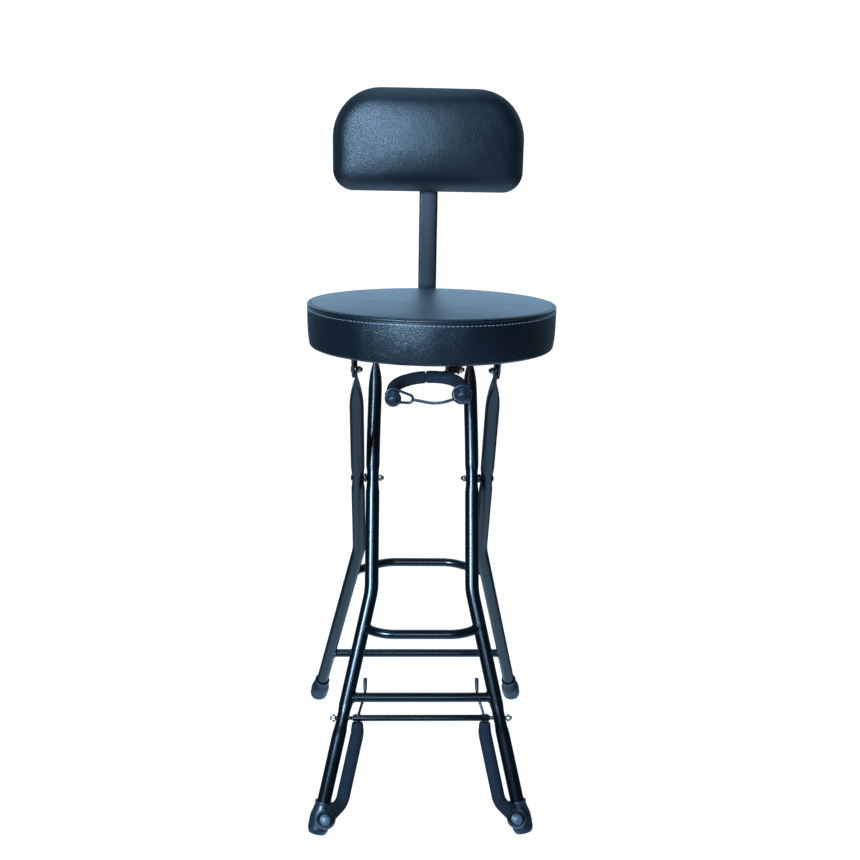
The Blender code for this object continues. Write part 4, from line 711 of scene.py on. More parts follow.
# Seat: a crowned top, a rolled rim, a stitched seam and a band that is drawn in below
seatLow, seatHigh = np.array(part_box("seat_cover"))
boardLow, boardHigh = np.array(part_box("seat_board"))
seat = {"radius": (seatHigh[0] - seatLow[0]) / 2, "bottom": seatLow[2], "top": seatLow[2] + 55.5 * mm,
        "crown": 5.5 * mm, "groove": 1.5 * mm, "rim": 2.1 * mm, "stitches": 184, "stitchDrop": 3.1 * mm,
        "pucker": 0.22 * mm, "turnUnder": 26 * mm, "perStitch": 3, "staples": 44, "pleats": 46,
        "pleat": 0.25 * mm, "swell": 0.55 * mm, "swellLength": 55 * mm, "dimple": 0.16 * mm,
        "dimpleLength": 21 * mm, "swellMost": 0.3 * mm, "topSwell": 0.45 * mm, "topSwellLength": 75 * mm}
seatCentre = np.array(((seatLow[0] + seatHigh[0]) / 2, (seatLow[1] + seatHigh[1]) / 2, 0))


def seatProfile():
    # Half section from the middle of the top to the inner edge of the margin below the board
    radius, top, bottom = seat["radius"], seat["top"], seat["bottom"]
    rimRadius = radius - seat["rim"] - 0.2 * mm
    crownEdge = rimRadius - seat["rim"] - 1.2 * mm
    profile = [(crownEdge * share, top + 0.6 * mm + seat["crown"] * (1 - share ** 2.6) * 0.88)
               for share in np.concatenate((np.linspace(0.002, 0.9, 30), np.linspace(0.915, 1.0, 10)))]
    profile += [(crownEdge + 0.9 * mm, top - 0.3 * mm), (crownEdge + 1.5 * mm, top - seat["groove"])]
    for turn in np.linspace(math.pi * 0.93, -math.pi * 0.22, 12):
        profile.append((rimRadius + seat["rim"] * math.cos(turn), top - 1.7 * mm + seat["rim"] * math.sin(turn)))
    seam = top - 1.7 * mm - seat["rim"] * 0.98
    profile += [(radius - 1.9 * mm, seam), (radius - 1.7 * mm, seam - 0.5 * mm), (radius - 0.8 * mm, seam - 1.2 * mm)]
    bandTop, bandBottom = seam - 2.0 * mm, bottom + 4.5 * mm
    for share in np.linspace(0, 1, 34):
        bulge = math.sin(math.pi * (0.12 + 0.78 * share)) ** 0.8
        profile.append((radius - 1.5 * mm * share ** 2.4 - 0.9 * mm * (1 - bulge),
                        bandTop + (bandBottom - bandTop) * share))
    edge = profile[-1][0]
    for turn in np.linspace(0.15, math.pi / 2, 8):
        profile.append((edge - 4.2 * mm * (1 - math.cos(turn)), bandBottom - 4.4 * mm * math.sin(turn)))
    profile += [(edge - 4.2 * mm - seat["turnUnder"] * share, bottom + 0.1 * mm) for share in (0.3, 0.65, 1.0)]
    profile.append((edge - 4.2 * mm - seat["turnUnder"], bottom + 0.9 * mm))
    return np.array(profile), seam


seatOutline, seamHeight = seatProfile()


def seatShell():
    # The outline turned round the seat's axis, drawn in between the stitches by pucker x (1 + cos) / 2 that fades
    # below the seam, with slow waves on the band and the top and fine pleats where the cover turns under
    columns = seat["stitches"] * seat["perStitch"]
    angles = evenTurns(columns)
    radii, heights = seatOutline[:, :1], seatOutline[:, 1:]
    below = seamHeight - heights
    onBand = radii > seat["radius"] * 0.95
    nearSeam = np.where(below > 0, np.exp(-below / (5 * mm)), 0.0) * onBand
    drawn = radii - seat["pucker"] * nearSeam * (0.5 + 0.5 * np.cos(seat["stitches"] * angles))
    points = np.stack((drawn * np.cos(angles), drawn * np.sin(angles), np.broadcast_to(heights, drawn.shape)),
                      axis=-1) + seatCentre
    band = smoothStep(below / (12 * mm)) * onBand
    swell = waves(points * (1, 1, 0.35), seat["swellLength"], 3) * seat["swell"] * band
    dimples = waves(points * (1, 1, 0.6), seat["dimpleLength"], 4) * seat["dimple"] * band
    out = np.stack((np.cos(angles), np.sin(angles), np.zeros_like(angles)), axis=-1)
    points += np.minimum(swell + dimples, seat["swellMost"])[..., None] * out
    inside = smoothStep((seat["radius"] * 0.97 - radii) / (14 * mm)) * (below < 0)
    points[..., 2] += waves(points, seat["topSwellLength"], 5) * seat["topSwell"] * inside
    under = (radii < seat["radius"] - 6 * mm) & (below > 30 * mm)
    points[..., 2] += np.where(under, seat["pleat"] * np.abs(np.sin(angles * seat["pleats"])), 0.0)
    return gridShell(points)


seatCushion = makePiece("seat_cushion", [seatShell()], seatVinyl, "seat",
                        ("seat_cover", "seat_foam", "seat_piping"), 60.0)


stitch = {"thick": 0.42 * mm, "share": 0.66, "lift": 0.35 * mm, "sink": 0.25 * mm, "slant": 0.12 * mm}


def stitchShells():
    # Each stitch is a small capsule laid along the seam, its two ends sunk into the cover
    shells = []
    count, radius, height = seat["stitches"], seat["radius"] - stitch["lift"], seamHeight - seat["stitchDrop"]
    length = math.tau * seat["radius"] / count * stitch["share"]
    shares = np.linspace(-1, 1, 7)
    reach = radius + stitch["lift"] * (1 - shares ** 4) - stitch["sink"]
    sizes = stitch["thick"] * np.sqrt(np.clip(1.12 - shares ** 4, 0.1, 1))
    for number in range(count):
        angles = math.tau * (number + 0.5) / count + length / radius / 2 * shares
        path = np.stack((reach * np.cos(angles), reach * np.sin(angles), height + stitch["slant"] * shares), axis=1)
        shells.append(sweepShell(path + seatCentre, circle(8)[None] * sizes[:, None, None], zAxis))
    return shells


makePiece("seat_stitches", stitchShells(), thread, "seat")
staple = {"half": 5 * mm, "leg": 1.4 * mm, "bend": 0.5 * mm, "wire": 0.35 * mm, "inset": 19 * mm,
          "drift": 1.5 * mm, "padInset": 14 * mm}


def stapleShell(middle, tangent, inward):
    # A bridge of round wire along tangent, its two legs driven inward
    half, leg = tangent * staple["half"], inward * staple["leg"]
    corners = [middle - half + leg, middle - half, middle + half, middle + half + leg]
    return sweepShell(arcPath(corners, staple["bend"], 3), circle(8, staple["wire"]), np.cross(tangent, inward))


# Staples hold the turned-under margin to the board, a little unevenly
staples = []
for number in range(seat["staples"]):
    angle = math.tau * (number + 0.3 * math.sin(number * 2.3)) / seat["staples"]
    radius = seat["radius"] - staple["inset"] + staple["drift"] * math.sin(number * 1.7)
    middle = seatCentre + np.array((radius * math.cos(angle), radius * math.sin(angle), seat["bottom"] - 0.2 * mm))
    tangent = np.array((-math.sin(angle + 0.2), math.cos(angle + 0.2), 0))
    staples.append(stapleShell(middle, tangent, zAxis))
makePiece("seat_staples", staples, zinc, "seat")
boardRadius, boardUnder = seat["radius"] - 8 * mm, boardLow[2] + 0.4 * mm
boardProfile = roundedProfile([(0.1 * mm, boardUnder), (boardRadius, boardUnder), (boardRadius, boardHigh[2]),
                               (0.1 * mm, boardHigh[2])], 0.8 * mm)
showNode("seat_board", [turnedShell(boardProfile, seatCentre, zAxis, 128)], plywood, "seat")
print("seat made")

# Back pad: a rounded board wrapped in foam and vinyl, fuller in the middle than at its edge
padLow, padHigh = np.array(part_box("pad_cover"))
padBoardLow, padBoardHigh = np.array(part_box("pad_board"))
pad = {"halfWidth": (padHigh[0] - padLow[0]) / 2, "halfHeight": (padHigh[2] - padLow[2]) / 2, "topCorner": 70 * mm,
       "lowCorner": 30 * mm, "wall": 12 * mm, "edge": 14 * mm, "roll": 32 * mm, "margin": 22 * mm, "columns": 420,
       "staples": 34, "swell": 0.5 * mm, "swellLength": 60 * mm, "dimple": 0.12 * mm, "dimpleLength": 24 * mm,
       "sink": 0.35 * mm}
pad["crown"] = padHigh[1] - padLow[1] - pad["wall"] - pad["edge"]
padMiddle = (padLow + padHigh) / 2


def padOutline(inset, columns):
    # The pad's front view, drawn in by inset, as evenly spaced points
    upper, lower = (max(pad[corner] - inset, 0.6 * mm) for corner in ("topCorner", "lowCorner"))
    outline = roundedRectangle(pad["halfWidth"] - inset, pad["halfHeight"] - inset, upper, lower, 23)
    outline = np.concatenate((outline, outline[:1]))
    reach = pathLengths(outline)
    places = np.linspace(0, reach[-1], columns, endpoint=False)
    return np.stack((np.interp(places, reach, outline[:, 0]), np.interp(places, reach, outline[:, 1])), axis=1)


def padDepth(flat, distance):
    # How far the cover stands in front of the pad's back: the wall, plus edge x (1 - (1 - distance / roll)^3.5),
    # plus a crown that is 1 - (x / half width)^2 wide and fuller in the middle of the height
    rounding = 1 - (1 - distance / pad["roll"]) ** 3.5
    wide = np.clip(1 - np.abs(flat[:, 0] / pad["halfWidth"]) ** 2.0, 0, 1)
    tall = np.clip(1 - np.abs(flat[:, 1] / pad["halfHeight"]) ** 2.5, 0, 1)
    return pad["wall"] + pad["edge"] * rounding + pad["crown"] * wide * (0.25 + 0.75 * tall)


def padRow(flat, depth):
    # The outline put in front of the pad's back, at one depth or one per point
    return np.stack((padMiddle[0] + flat[:, 0], np.broadcast_to(padHigh[1] - depth, len(flat)),
                     padMiddle[2] + flat[:, 1]), axis=1)


def padShell():
    # From behind: the margin, the wall, the roll over the edge and the crowned front
    columns = pad["columns"]
    rows = [padRow(padOutline(2.6 * mm + pad["margin"] * share, columns), 0.0) for share in np.linspace(1, 0, 6)]
    rows += [padRow(padOutline(2.4 * mm * (1 - share) ** 2, columns), pad["wall"] * share)
             for share in np.linspace(0.1, 1, 12)]
    for distance in pad["roll"] * np.linspace(0.05, 1, 34) ** 1.8:
        flat = padOutline(distance, columns)
        rows.append(padRow(flat, padDepth(flat, distance)))
    rows += [padRow(flat * share, padDepth(flat * share, pad["roll"])) for share in np.linspace(0.97, 0.01, 40)]
    points = np.array(rows)
    fade = smoothStep((padHigh[1] - points[..., 1] - 4 * mm) / (14 * mm))
    swell = waves(points, pad["swellLength"], 11) * pad["swell"]
    dimples = waves(points, pad["dimpleLength"], 12) * pad["dimple"]
    points[..., 1] += (swell + dimples + pad["sink"]) * fade
    return gridShell(points)


padCushion = makePiece("pad_cushion", [padShell()], padVinyl, "pad", ("pad_cover", "pad_foam"), 60.0)

# The board is a plate with its back edge broken; its back is closed by a small first ring
boardBack = padHigh[1] - padBoardHigh[1] + 0.5 * mm
boardFront = padHigh[1] - padBoardLow[1]
boardRows = [padRow(padOutline(inset, 120) * share, depth) for inset, share, depth in (
    (12 * mm, 0.01, boardBack), (12 * mm, 1, boardBack), (11.2 * mm, 1, boardBack + 0.6 * mm),
    (11.2 * mm, 1, boardFront))]
showNode("pad_board", [gridShell(boardRows)], plywood, "pad")
padStaples = []
staplePath = padOutline(staple["padInset"], pad["staples"])
for flat, ahead in zip(staplePath, np.roll(staplePath, -1, axis=0) - staplePath):
    tangent = unit((ahead[0], 0, ahead[1]))
    middle = np.array((padMiddle[0] + flat[0], padHigh[1] + 0.25 * mm, padMiddle[2] + flat[1]))
    padStaples.append(stapleShell(middle, tangent, -yAxis))
makePiece("pad_staples", padStaples, zinc, "pad")
print("back pad made")

# Brackets of sheet steel, the post, its sleeves and knobs
for word in handNames.values():
    refineNode(f"hinge_ear_{word}", paint, "seat", 0.5 * mm)
    refineNode(f"latch_hook_{word}", paint, "seat", 0.5 * mm)
refineNode("yoke_bracket", paint, "seat", 0.4 * mm)
refineNode("post_sleeve", paint, "seat", 0.45 * mm)
refineNode("pad_sleeve", paint, "pad", 0.45 * mm)
refineNode("post_plug", plastic, "backrest", 0.6 * mm)

postLow, postHigh = np.array(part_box("backrest_post"))
post = {"width": 27 * mm, "depth": 13 * mm, "corner": 3 * mm, "wall": 1.5 * mm, "bend": 39 * mm}
postLevel = postLow[2] + post["depth"] / 2
postBack = postHigh[1] - post["depth"] / 2
postX = seatCentre[0]
postPath = arcPath([(postX, postLow[1], postLevel), (postX, postBack, postLevel), (postX, postBack, postHigh[2])],
                   post["bend"], 40)
skins = []
for wall, corner in ((0, post["corner"]), (post["wall"], post["corner"] / 2)):
    outline = roundedRectangle(post["width"] / 2 - wall, post["depth"] / 2 - wall, corner, corner)
    skins.append(sweepShell(postPath, outline)[0].reshape(len(postPath), len(outline), 3))
rows = np.concatenate((skins[1][::-1], skins[0], skins[1][-1:]))
showNode("backrest_post", [gridShell(rows, caps=(False, False))], satinPaint, "backrest", 50.0)

# The knob's profile holds shares: radius, height from -1 to 1, and how deep the lobes are
knob = {"radius": 15 * mm, "lobe": 1.6 * mm, "lobes": 6, "height": 14 * mm, "columns": 144, "stud": 4 * mm,
        "pitch": 1.25 * mm, "profile": (
            (0.01, -1, 0), (0.55, -1, 0), (0.62, -1, 0.2), (0.93, -1, 0.8), (0.985, -0.86, 1), (1.0, -0.6, 1),
            (1.0, 0, 1), (1.0, 0.55, 1), (0.975, 0.85, 1), (0.92, 0.98, 0.9), (0.86, 1, 0.8), (0.62, 1, 0.2),
            (0.52, 0.93, 0), (0.3, 0.84, 0), (0.01, 0.82, 0))}


def knobShell(centre, way):
    # A lobed handle with a rounded rim and a dished face, on a turned neck
    side, other, along = basis(way)
    angles = evenTurns(knob["columns"])
    half = knob["height"] / 2
    rows = []
    for radius, level, wavy in knob["profile"]:
        reach = knob["radius"] * radius + knob["lobe"] * wavy * np.cos(knob["lobes"] * angles)
        rows.append(polarRow(centre + along * level * half, side, other, angles, reach))
    return gridShell(rows)


for node, way in (("depth_knob", -zAxis), ("height_knob", yAxis)):
    low, high = np.array(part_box(node))
    centre = (low + high) / 2
    tip = (low if way.sum() < 0 else high) * np.abs(way) + centre * (1 - np.abs(way))
    centre = tip - way * knob["height"] / 2
    reach = abs((high - low) @ way)
    stud = threadShell(tip - way * reach, way, knob["stud"], reach - knob["height"] * 0.8, knob["pitch"])
    showNode(node, [knobShell(centre, way)], plastic, node, 55.0)
    makePiece(node + "_stud", [stud], zinc, node)
print("brackets, post and knobs made")

# Screws under the flanges and behind the pad's plate
flange = {"width": 30 * mm, "ear": 46 * mm, "hook": 44 * mm, "below": 3 * mm, "plate": 2.5 * mm,
          "sleeveInset": 10 * mm, "padInset": 7 * mm, "yokeHalf": 19.5 * mm, "yoke": 2 * mm}
screw = {"radius": 4.2 * mm, "height": 2.2 * mm, "slotHalf": 2.2 * mm, "slotWide": 0.45 * mm}


def screwPiece(name, places, way, body):
    # Pan heads, each with two crossing slots drawn as dark plastic bars sunk into its dome: the bars are painted
    # shade that stands in for the slots' recesses
    heads, slotShadeBars = [], []
    side, other, along = basis(way)
    for place in places:
        heads.append(domeShell(place, way, screw["radius"], screw["height"]))
        for arm in (side, other):
            across = np.cross(along, arm)
            corners = [arm * x * screw["slotHalf"] + across * y * screw["slotWide"]
                       for x, y in ((-1, -1), (1, -1), (1, 1), (-1, 1))]
            slotShadeBars.append(gridShell([[place + along * height + corner * grow for corner in corners]
                                    for height, grow in ((0.6 * mm, 0.8), (2.27 * mm, 1.0))]))
    makePiece(name, heads, zinc, body)
    # The dark bars in the slots are painted shade, not separate parts
    makePiece(name + "_slot_shade", slotShadeBars, plastic, body)


bracketTop = boardLow[2] - hair
seatScrews = []
for hand in (-1, 1):
    for centre, length in ((hingeCentre, flange["ear"]), (latchCentre, flange["hook"])):
        x = hand * (centre[0] - flange["width"] + screw["radius"] * 2.6)
        for share in (-0.3, 0.3):
            seatScrews.append((x, centre[1] + length * share, bracketTop - flange["below"]))
sleeveLow, sleeveHigh = np.array(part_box("post_sleeve"))
sleeveX = (sleeveHigh[0] - sleeveLow[0]) / 2 - screw["radius"] * 1.5
for hand in (-1, 1):
    for y in (sleeveLow[1] + flange["sleeveInset"], sleeveHigh[1] - flange["sleeveInset"]):
        seatScrews.append((postX + hand * sleeveX, y, bracketTop - flange["plate"]))
    seatScrews.append((yokeHinge[0] + hand * flange["yokeHalf"], yokeHinge[1], bracketTop - flange["yoke"]))
screwPiece("seat_screws", [np.array(place) for place in seatScrews], -zAxis, "seat")
padSleeveLow, padSleeveHigh = np.array(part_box("pad_sleeve"))
padScrews = [np.array((postX + hand * sleeveX, padSleeveLow[1] + flange["plate"], z))
             for hand in (-1, 1)
             for z in (padSleeveLow[2] + flange["padInset"], padSleeveHigh[2] - flange["padInset"])]
screwPiece("pad_screws", padScrews, yAxis, "pad")

# Body cradle: rod, tube, arms, stop fingers, foam sleeves and rubber ends
cradle = {"tube": 4.2 * mm, "rod": 2.7 * mm, "inset": 19.8 * mm, "neck": 20.1 * mm, "arm": 3 * mm,
          "armDrop": 109.3 * mm, "bend": 12.5 * mm, "hook": 40 * mm, "flare": math.radians(28), "foam": 8.9 * mm,
          "end": 12.6 * mm, "finger": 1.8 * mm, "fingerTop": 52 * mm, "fingerInset": 9.5 * mm,
          "fingerBend": 14 * mm, "step": 1.6 * mm}
fingerCap = [(1.8 * mm, -15.2 * mm), (2.5 * mm, -15 * mm), (2.7 * mm, 0), (2.4 * mm, 0.9 * mm),
             (1.4 * mm, 1.5 * mm), (0.1 * mm, 1.6 * mm)]
cradleLeg = legOffset(-1, cradleDrop)
cradle["half"] = cradleLeg - cradle["inset"]
nutLean = rodBolt["hex"] * math.tan(legSplay)
cradleOutside = cradleLeg + halfCrimp + nutLean + 2 * hair
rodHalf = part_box("cradle_rod")[1][0]
showNode("cradle_rod", [threadShell(cradleAxis, way, cradle["rod"], rodHalf) for way in (xAxis, -xAxis)], zinc,
         "front_frame")
for hand, word in handNames.items():
    outward = xAxis * hand
    nut = hexShell(cradleAxis + outward * cradleOutside, outward, rodBolt["hex"], rodBolt["nut"],
                   hole=cradle["rod"] + 0.1 * mm)
    showNode(f"cradle_nut_{word}", [nut], zinc, "front_frame", 32.0)

hookWay = np.array((math.sin(cradle["flare"]), -math.cos(cradle["flare"]), 0))
armEnd = inFrame(-1, cradle["half"] + (cradle["armDrop"] - cradle["neck"]) * math.tan(legSplay),
                 cradleDrop + cradle["armDrop"])
hookEnd = armEnd + hookWay * cradle["hook"]
armCorners = [inFrame(-1, cradle["half"], cradleDrop + cradle["tube"] * 0.5),
              inFrame(-1, cradle["half"], cradleDrop + cradle["neck"]), armEnd, hookEnd]
armPath = evenPath(arcPath(armCorners, cradle["bend"], 16), cradle["step"])
tubeHalf = cradleLeg - halfCrimp - cradle["neck"] / 4
showNode("cradle_tube", [pipeShell(cradleAxis, xAxis, cradle["rod"] + 0.3 * mm, cradle["tube"], tubeHalf)], paint,
         "cradle")


def endBallShells(centre, way, ball, neck, collar, button, face=None):
    # A moulded cap: a ball with a shallow groove round its button, on a straight collar, and the button
    face = way if face is None else face
    start = math.asin(button * 1.2 / ball)
    profile = [(0.1 * mm, ball * 0.8), (button * 1.1, ball * 0.8)]
    for turn in np.linspace(start, 3.1, 30):
        profile.append((ball * math.sin(turn), ball * 0.97 * math.cos(turn)))
    sleeve = [(neck * 0.7, -ball * 0.3), (neck, -ball * 0.3), (neck, -collar), (neck * 0.7, -collar)]
    raised = [(0.1 * mm, ball * 0.79), (button * 0.98, ball * 0.79), (button, ball * 0.93)]
    for turn in np.linspace(0.2, 1, 8) * math.pi / 2:
        raised.append((max(button * math.cos(turn), 0.1 * mm), ball * (0.93 + 0.15 * math.sin(turn))))
    return ([turnedShell(profile, centre, face, 56), turnedShell(sleeve, centre, way, 48)],
            [turnedShell(raised, centre, face, 48)])


sleeves = {"rounding": 2.2 * mm, "crease": 1.3 * mm, "swell": 0.18 * mm, "swellLength": 14 * mm, "sides": 40,
           "pinch": 15 * mm}


def foamShell(path, radius, seed, pinch=None, ends=0.86):
    # A soft sleeve: its skin waves a little and its cut ends are drawn in
    path = np.asarray(path, float)
    reach = pathLengths(path)
    fromEnd = np.minimum(reach, reach[-1] - reach)
    sizes = radius * (ends + (1 - ends) * smoothStep(fromEnd / sleeves["rounding"]))
    if pinch is not None:
        crease = 0.05 * np.exp(-((reach - pinch) / sleeves["crease"]) ** 2)
        sizes = sizes * (1 - 0.14 * (1 - smoothStep(reach / pinch)) - crease)
    points, faces = sweepShell(path, circle(sleeves["sides"])[None] * sizes[:, None, None])
    swell = waves(points, sleeves["swellLength"], seed) * sleeves["swell"]
    return points + swell[:, None] * (0.3, 1.0, 0.3), faces


fingerBack = bars["radius"] + cradle["finger"] + 2 * hair
fingerSlope = fingerBack / (cradleDrop - crossbars["front_lower_crossbar"]["drop"])
fingerWay = unit(-downLeg(-1) - proudOf(-1) * fingerSlope)
for hand, word in handNames.items():
    flip = np.array((hand, 1, 1))
    root = cradleAxis + xAxis * cradle["half"]
    finger = np.array([root, *(root + fingerWay * cradle["fingerTop"] * share - xAxis * cradle["fingerInset"]
                               for share in (0.62, 1))]) * flip
    fingerPath = evenPath(arcPath(finger, cradle["fingerBend"], 8), 1.5 * mm)
    makePiece(f"stop_finger_{word}", [sweepShell(fingerPath, circle(20, cradle["finger"]))], paint, "cradle")
    tipWay = unit(fingerPath[-1] - fingerPath[-3])
    cap = turnedShell(roundedProfile(fingerCap, 0.5 * mm), fingerPath[-1], tipWay, 28)
    makePiece(f"stop_finger_cap_{word}", [cap], rubber, "cradle", (), 60.0)
    arm = armPath * flip
    showNode(f"cradle_arm_{word}", [sweepShell(arm, circle(24, cradle["arm"]))], paint, "cradle")
    armWay = unit(arm[4] - arm[0])
    makePiece(f"cradle_arm_weld_{word}", [
        weldShell(arm[3], -armWay, cradle["arm"], cradleAxis, xAxis, cradle["tube"]),
        weldShell(fingerPath[3], -unit(fingerPath[3] - fingerPath[0]), cradle["finger"], cradleAxis, xAxis,
                  cradle["tube"])], paint, "cradle")
    stop = len(arm) - int(cradle["end"] / cradle["step"]) + 1
    sleeve = foamShell(arm[2:stop], cradle["foam"], 20 + hand, sleeves["pinch"])
    showNode(f"cradle_foam_{word}", [sleeve], foam, "cradle", 60.0)
    ball, button = endBallShells(hookEnd * flip, hookWay * flip, cradle["end"], cradle["foam"] * 0.9, cradle["end"],
                                 cradle["end"] * 0.5, unit(zAxis * 0.55 - yAxis))
    showNode(f"cradle_end_{word}", ball, darkRubber, "cradle", 50.0)
    # The button's lighter rubber is a painted highlight on the same rubber as the ball
    makePiece(f"cradle_end_button_{word}", button, buttonHighlightRubber, "cradle", (), 50.0)
print("cradle made")

# Neck yoke: bent rod, foam sleeves that meet at a seam, rubber ends and their strap
yoke = {"offset": -10 * mm, "half": 40.5 * mm, "length": 70 * mm, "tilt": math.radians(7.4), "roll": math.radians(4),
        "rod": 3 * mm, "foam": 7.7 * mm, "end": 9.8 * mm, "collar": 13.8 * mm, "strap": 1.7 * mm, "ring": 1.1 * mm,
        "barrel": 4.8 * mm, "barrelLength": 8 * mm, "setback": 25 * mm, "drop": 21.8 * mm, "stem": 12.8 * mm,
        "seam": 0.25 * mm}
yokeBack = np.array((seatCentre[0] + yoke["offset"], yokeHinge[1] - yoke["setback"], boardLow[2] - yoke["drop"]))


def yokePlace(x, ahead, lift=0.0):
    # A point of the yoke's own plane, turned down by its tilt and sideways by its roll
    flat = ahead * math.cos(yoke["tilt"]) + lift * math.sin(yoke["tilt"])
    rise = lift * math.cos(yoke["tilt"]) - ahead * math.sin(yoke["tilt"]) + x * math.sin(yoke["roll"])
    return yokeBack + np.array((x * math.cos(yoke["roll"]), -flat, rise))


def yokeRun(hand, tip=0.0, steps=20):
    # Half of the U: a quarter circle, then straight ahead
    turns = np.linspace(0, math.pi / 2, steps + 1)
    bend = [yokePlace(hand * yoke["half"] * math.sin(turn), yoke["half"] * (1 - math.cos(turn))) for turn in turns]
    return np.array(bend + [yokePlace(hand * yoke["half"], yoke["length"] - tip)])


yokeWay = unit(yokePlace(0, yoke["length"]) - yokePlace(0, 0))
yokePath = evenPath(np.concatenate((yokeRun(-1)[::-1], yokeRun(1)[1:])), 1.6 * mm)
stemFront = yokeHinge - yAxis * yoke["stem"] - zAxis * hair
stemTurn = stemFront - xAxis * yoke["barrelLength"] * 1.6 - zAxis * yoke["rod"] / 2
stemPath = evenPath(arcPath([yokeBack, stemTurn, stemFront, yokeHinge], yoke["rod"] * 1.5, 8), 1.0 * mm)
halfBarrel = yoke["barrelLength"] / 2
showNode("yoke_rod", [sweepShell(yokePath, circle(24, yoke["rod"]), zAxis),
                      sweepShell(stemPath[:-3], circle(24, yoke["rod"] * 0.9), zAxis),
                      pipeShell(yokeHinge, xAxis, 3.2 * mm, yoke["barrel"], halfBarrel)], paint, "yoke")
for hand, word in handNames.items():
    run = yokeRun(hand, yoke["collar"] + hair)
    run[0] = run[0] + xAxis * hand * yoke["seam"]
    sleeve = foamShell(evenPath(run, 1.3 * mm), yoke["foam"], 30 + hand)
    showNode(f"yoke_foam_{word}", [sleeve], foam, "yoke", 60.0)
    ball, button = endBallShells(yokePlace(hand * yoke["half"], yoke["length"]), yokeWay, yoke["end"],
                                 yoke["foam"] * 0.8, yoke["collar"], yoke["end"] * 0.6)
    showNode(f"yoke_end_{word}", ball, rubber, "yoke", 50.0)
    makePiece(f"yoke_end_button_{word}", button, darkRubber, "yoke", (), 50.0)

collarAhead = yoke["length"] - (yoke["collar"] + yoke["end"] * 0.8) / 2
ringRadius = yoke["end"] + yoke["ring"] + hair
ringCentre = yokePlace(yoke["half"], yoke["length"])
loopInner = yoke["foam"] * 0.8
loopLength = yoke["end"] * 1.6
leftCollar = yokePlace(-yoke["half"], collarAhead)
loopWay = unit(yokePlace(0, collarAhead, -loopInner * 1.9) - leftCollar)
loopCentre = leftCollar + loopWay * loopLength / 2
loopAxis = unit(np.cross(loopWay, zAxis))
stripStart = loopCentre + loopWay * (loopLength / 2 + loopInner + yoke["strap"])
stripMiddle = yokePlace(yoke["half"] * 0.3, yoke["length"] + yoke["foam"] * 0.4, -yoke["foam"] * 1.2)
stripEnd = ringCentre - ringRadius * (xAxis * math.cos(math.radians(30)) + zAxis * 0.5)
stripPath = evenPath(arcPath([stripStart, stripMiddle, stripEnd], yoke["half"], 24), 1.2 * mm)
stripSection = roundedRectangle(yoke["strap"] * 0.65, yoke["strap"] * 1.05, yoke["strap"] / 2, yoke["strap"] / 2)
loop = ringShell(loopCentre, loopAxis, loopInner + yoke["strap"] + hair, yoke["strap"], 72, 14, loopWay, loopLength,
                 0.6)
showNode("yoke_strap", [ringShell(ringCentre, yokeWay, ringRadius, yoke["ring"]), loop,
                        sweepShell(stripPath, stripSection, yAxis)], rubber, "yoke", 60.0)

cheek = xAxis * (halfBarrel + 2 * hair + 2 * mm)
showFastener("yoke_hinge_{}", yokeHinge - cheek, yokeHinge + cheek, rodBolt, "seat", hexShell, zinc)
print("yoke made")

# Stage: a round floor of pale paper that curves up into a wall all round, and soft lamps
stage = {"flat": 5.4, "bend": 1.6, "wall": 6.0, "sides": 120, "below": 0.4 * mm}
stageProfile = [(1 * mm, 0.0), (stage["flat"], 0.0)]
for turn in np.linspace(0.1, math.pi / 2, 14):
    stageProfile.append((stage["flat"] + stage["bend"] * math.sin(turn), stage["bend"] * (1 - math.cos(turn))))
stageProfile.append((stage["flat"] + stage["bend"], stage["wall"]))
stagePoints, stageFaces = turnedShell(stageProfile, -zAxis * stage["below"], zAxis, stage["sides"], (True, False))
stageMesh = bpy.data.meshes.new("paper_sheet")
stageMesh.from_pydata(stagePoints.tolist(), [], stageFaces)
stageMesh.shade_smooth()
stageMesh.materials.append(makeStage())
paperSheet = addObject("paper_sheet", stageMesh)
paperSheet.visible_glossy = False

lampTint = (0.40, 0.68, 1.0)
lamps = {
    "key_softbox": {"place": (-1.15, -2.25, 1.4), "aim": (0, 0, 0.85), "size": (0.9, 0.9), "power": 175},
    "strip_softbox": {"place": (0.06, -2.3, 1.05), "aim": (0, 0, 0.95), "size": (0.3, 0.7), "power": 9},
    "front_softbox": {"place": (0, -1.75, 2.3), "aim": (0, 0, 0.2), "size": (1.0, 0.7), "power": 3},
    "top_softbox": {"place": (-0.3, 0.2, 2.9), "aim": (0, 0, 0.6), "size": (1.6, 1.0), "power": 12},
}
for name, lamp in lamps.items():
    light = bpy.data.lights.new(name, "AREA")
    light.shape = "RECTANGLE"
    light.size, light.size_y = lamp["size"]
    light.energy = lamp["power"]
    light.color = lampTint
    holder = addObject(name, light)
    holder.visible_camera = False
    holder.location = lamp["place"]
    holder.rotation_euler = (Vector(lamp["aim"]) - Vector(lamp["place"])).to_track_quat("-Z", "Y").to_euler()

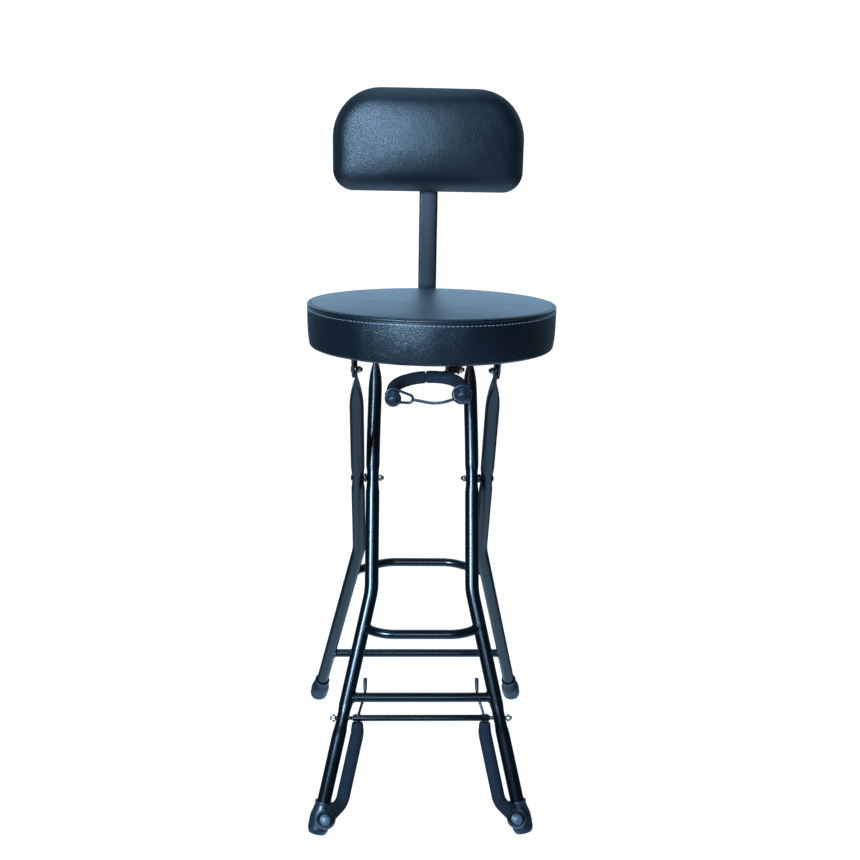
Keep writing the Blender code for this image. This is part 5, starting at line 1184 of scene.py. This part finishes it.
# The room: bright below and behind, dim at the sides, in front and above
room = {"tint": (0.42, 0.70, 1.0, 1.0), "dim": 0.06, "below": 1.5, "behind": 1.6}
world = bpy.data.worlds.new("studio")
world.use_nodes = True
roomNodes = world.node_tree
background = roomNodes.nodes["Background"]
background.inputs["Color"].default_value = room["tint"]
way = addNode(roomNodes, "TexCoord", "Generated")
up = addNode(roomNodes, "SeparateXYZ", "Z", {0: way})
back = addNode(roomNodes, "SeparateXYZ", "Y", {0: way})
below = addNode(roomNodes, "MapRange", "Result", {"Value": up, "From Min": -0.76, "From Max": -0.48,
                                                  "To Min": room["below"], "To Max": room["dim"]})
level = addNode(roomNodes, "MapRange", "Result", {"Value": up, "From Min": -0.06, "From Max": 0.1, "To Min": 0.12})
ahead = addNode(roomNodes, "MapRange", "Result", {"Value": back, "From Min": 0.3, "From Max": 0.95,
                                                  "To Max": room["behind"]})
behind = addNode(roomNodes, "Math", 0, {0: ahead, 1: level}, operation="MULTIPLY")
brightness = addNode(roomNodes, "Math", 0, {0: below, 1: behind}, operation="ADD")
roomNodes.links.new(brightness, background.inputs["Strength"])
bpy.context.scene.view_settings.view_transform = "Standard"
bpy.context.scene.world = world

# Camera: higher than the seat, tilted down, turned and rolled slightly as in the photograph
view = {"place": (-0.0422, -1.3068, 0.8523), "tilt": math.radians(14.78), "yaw": math.radians(2.06),
        "roll": math.radians(1.02), "focalPixels": 978.0, "imagePixels": 860.0, "sensor": 36.0, "slipPixels": 3.5}
camera = addObject("camera", bpy.data.cameras.new("camera"))
camera.data.sensor_width = view["sensor"]
camera.data.lens = view["focalPixels"] / view["imagePixels"] * view["sensor"]
camera.data.shift_x = view["slipPixels"] / view["imagePixels"]
turn = Matrix.Rotation(-view["yaw"], 3, "Z")
camera.location = view["place"]
aim = turn @ Matrix.Rotation(math.pi / 2 - view["tilt"], 3, "X") @ Matrix.Rotation(view["roll"], 3, "Z")
camera.rotation_euler = aim.to_euler()
bpy.context.scene.camera = camera
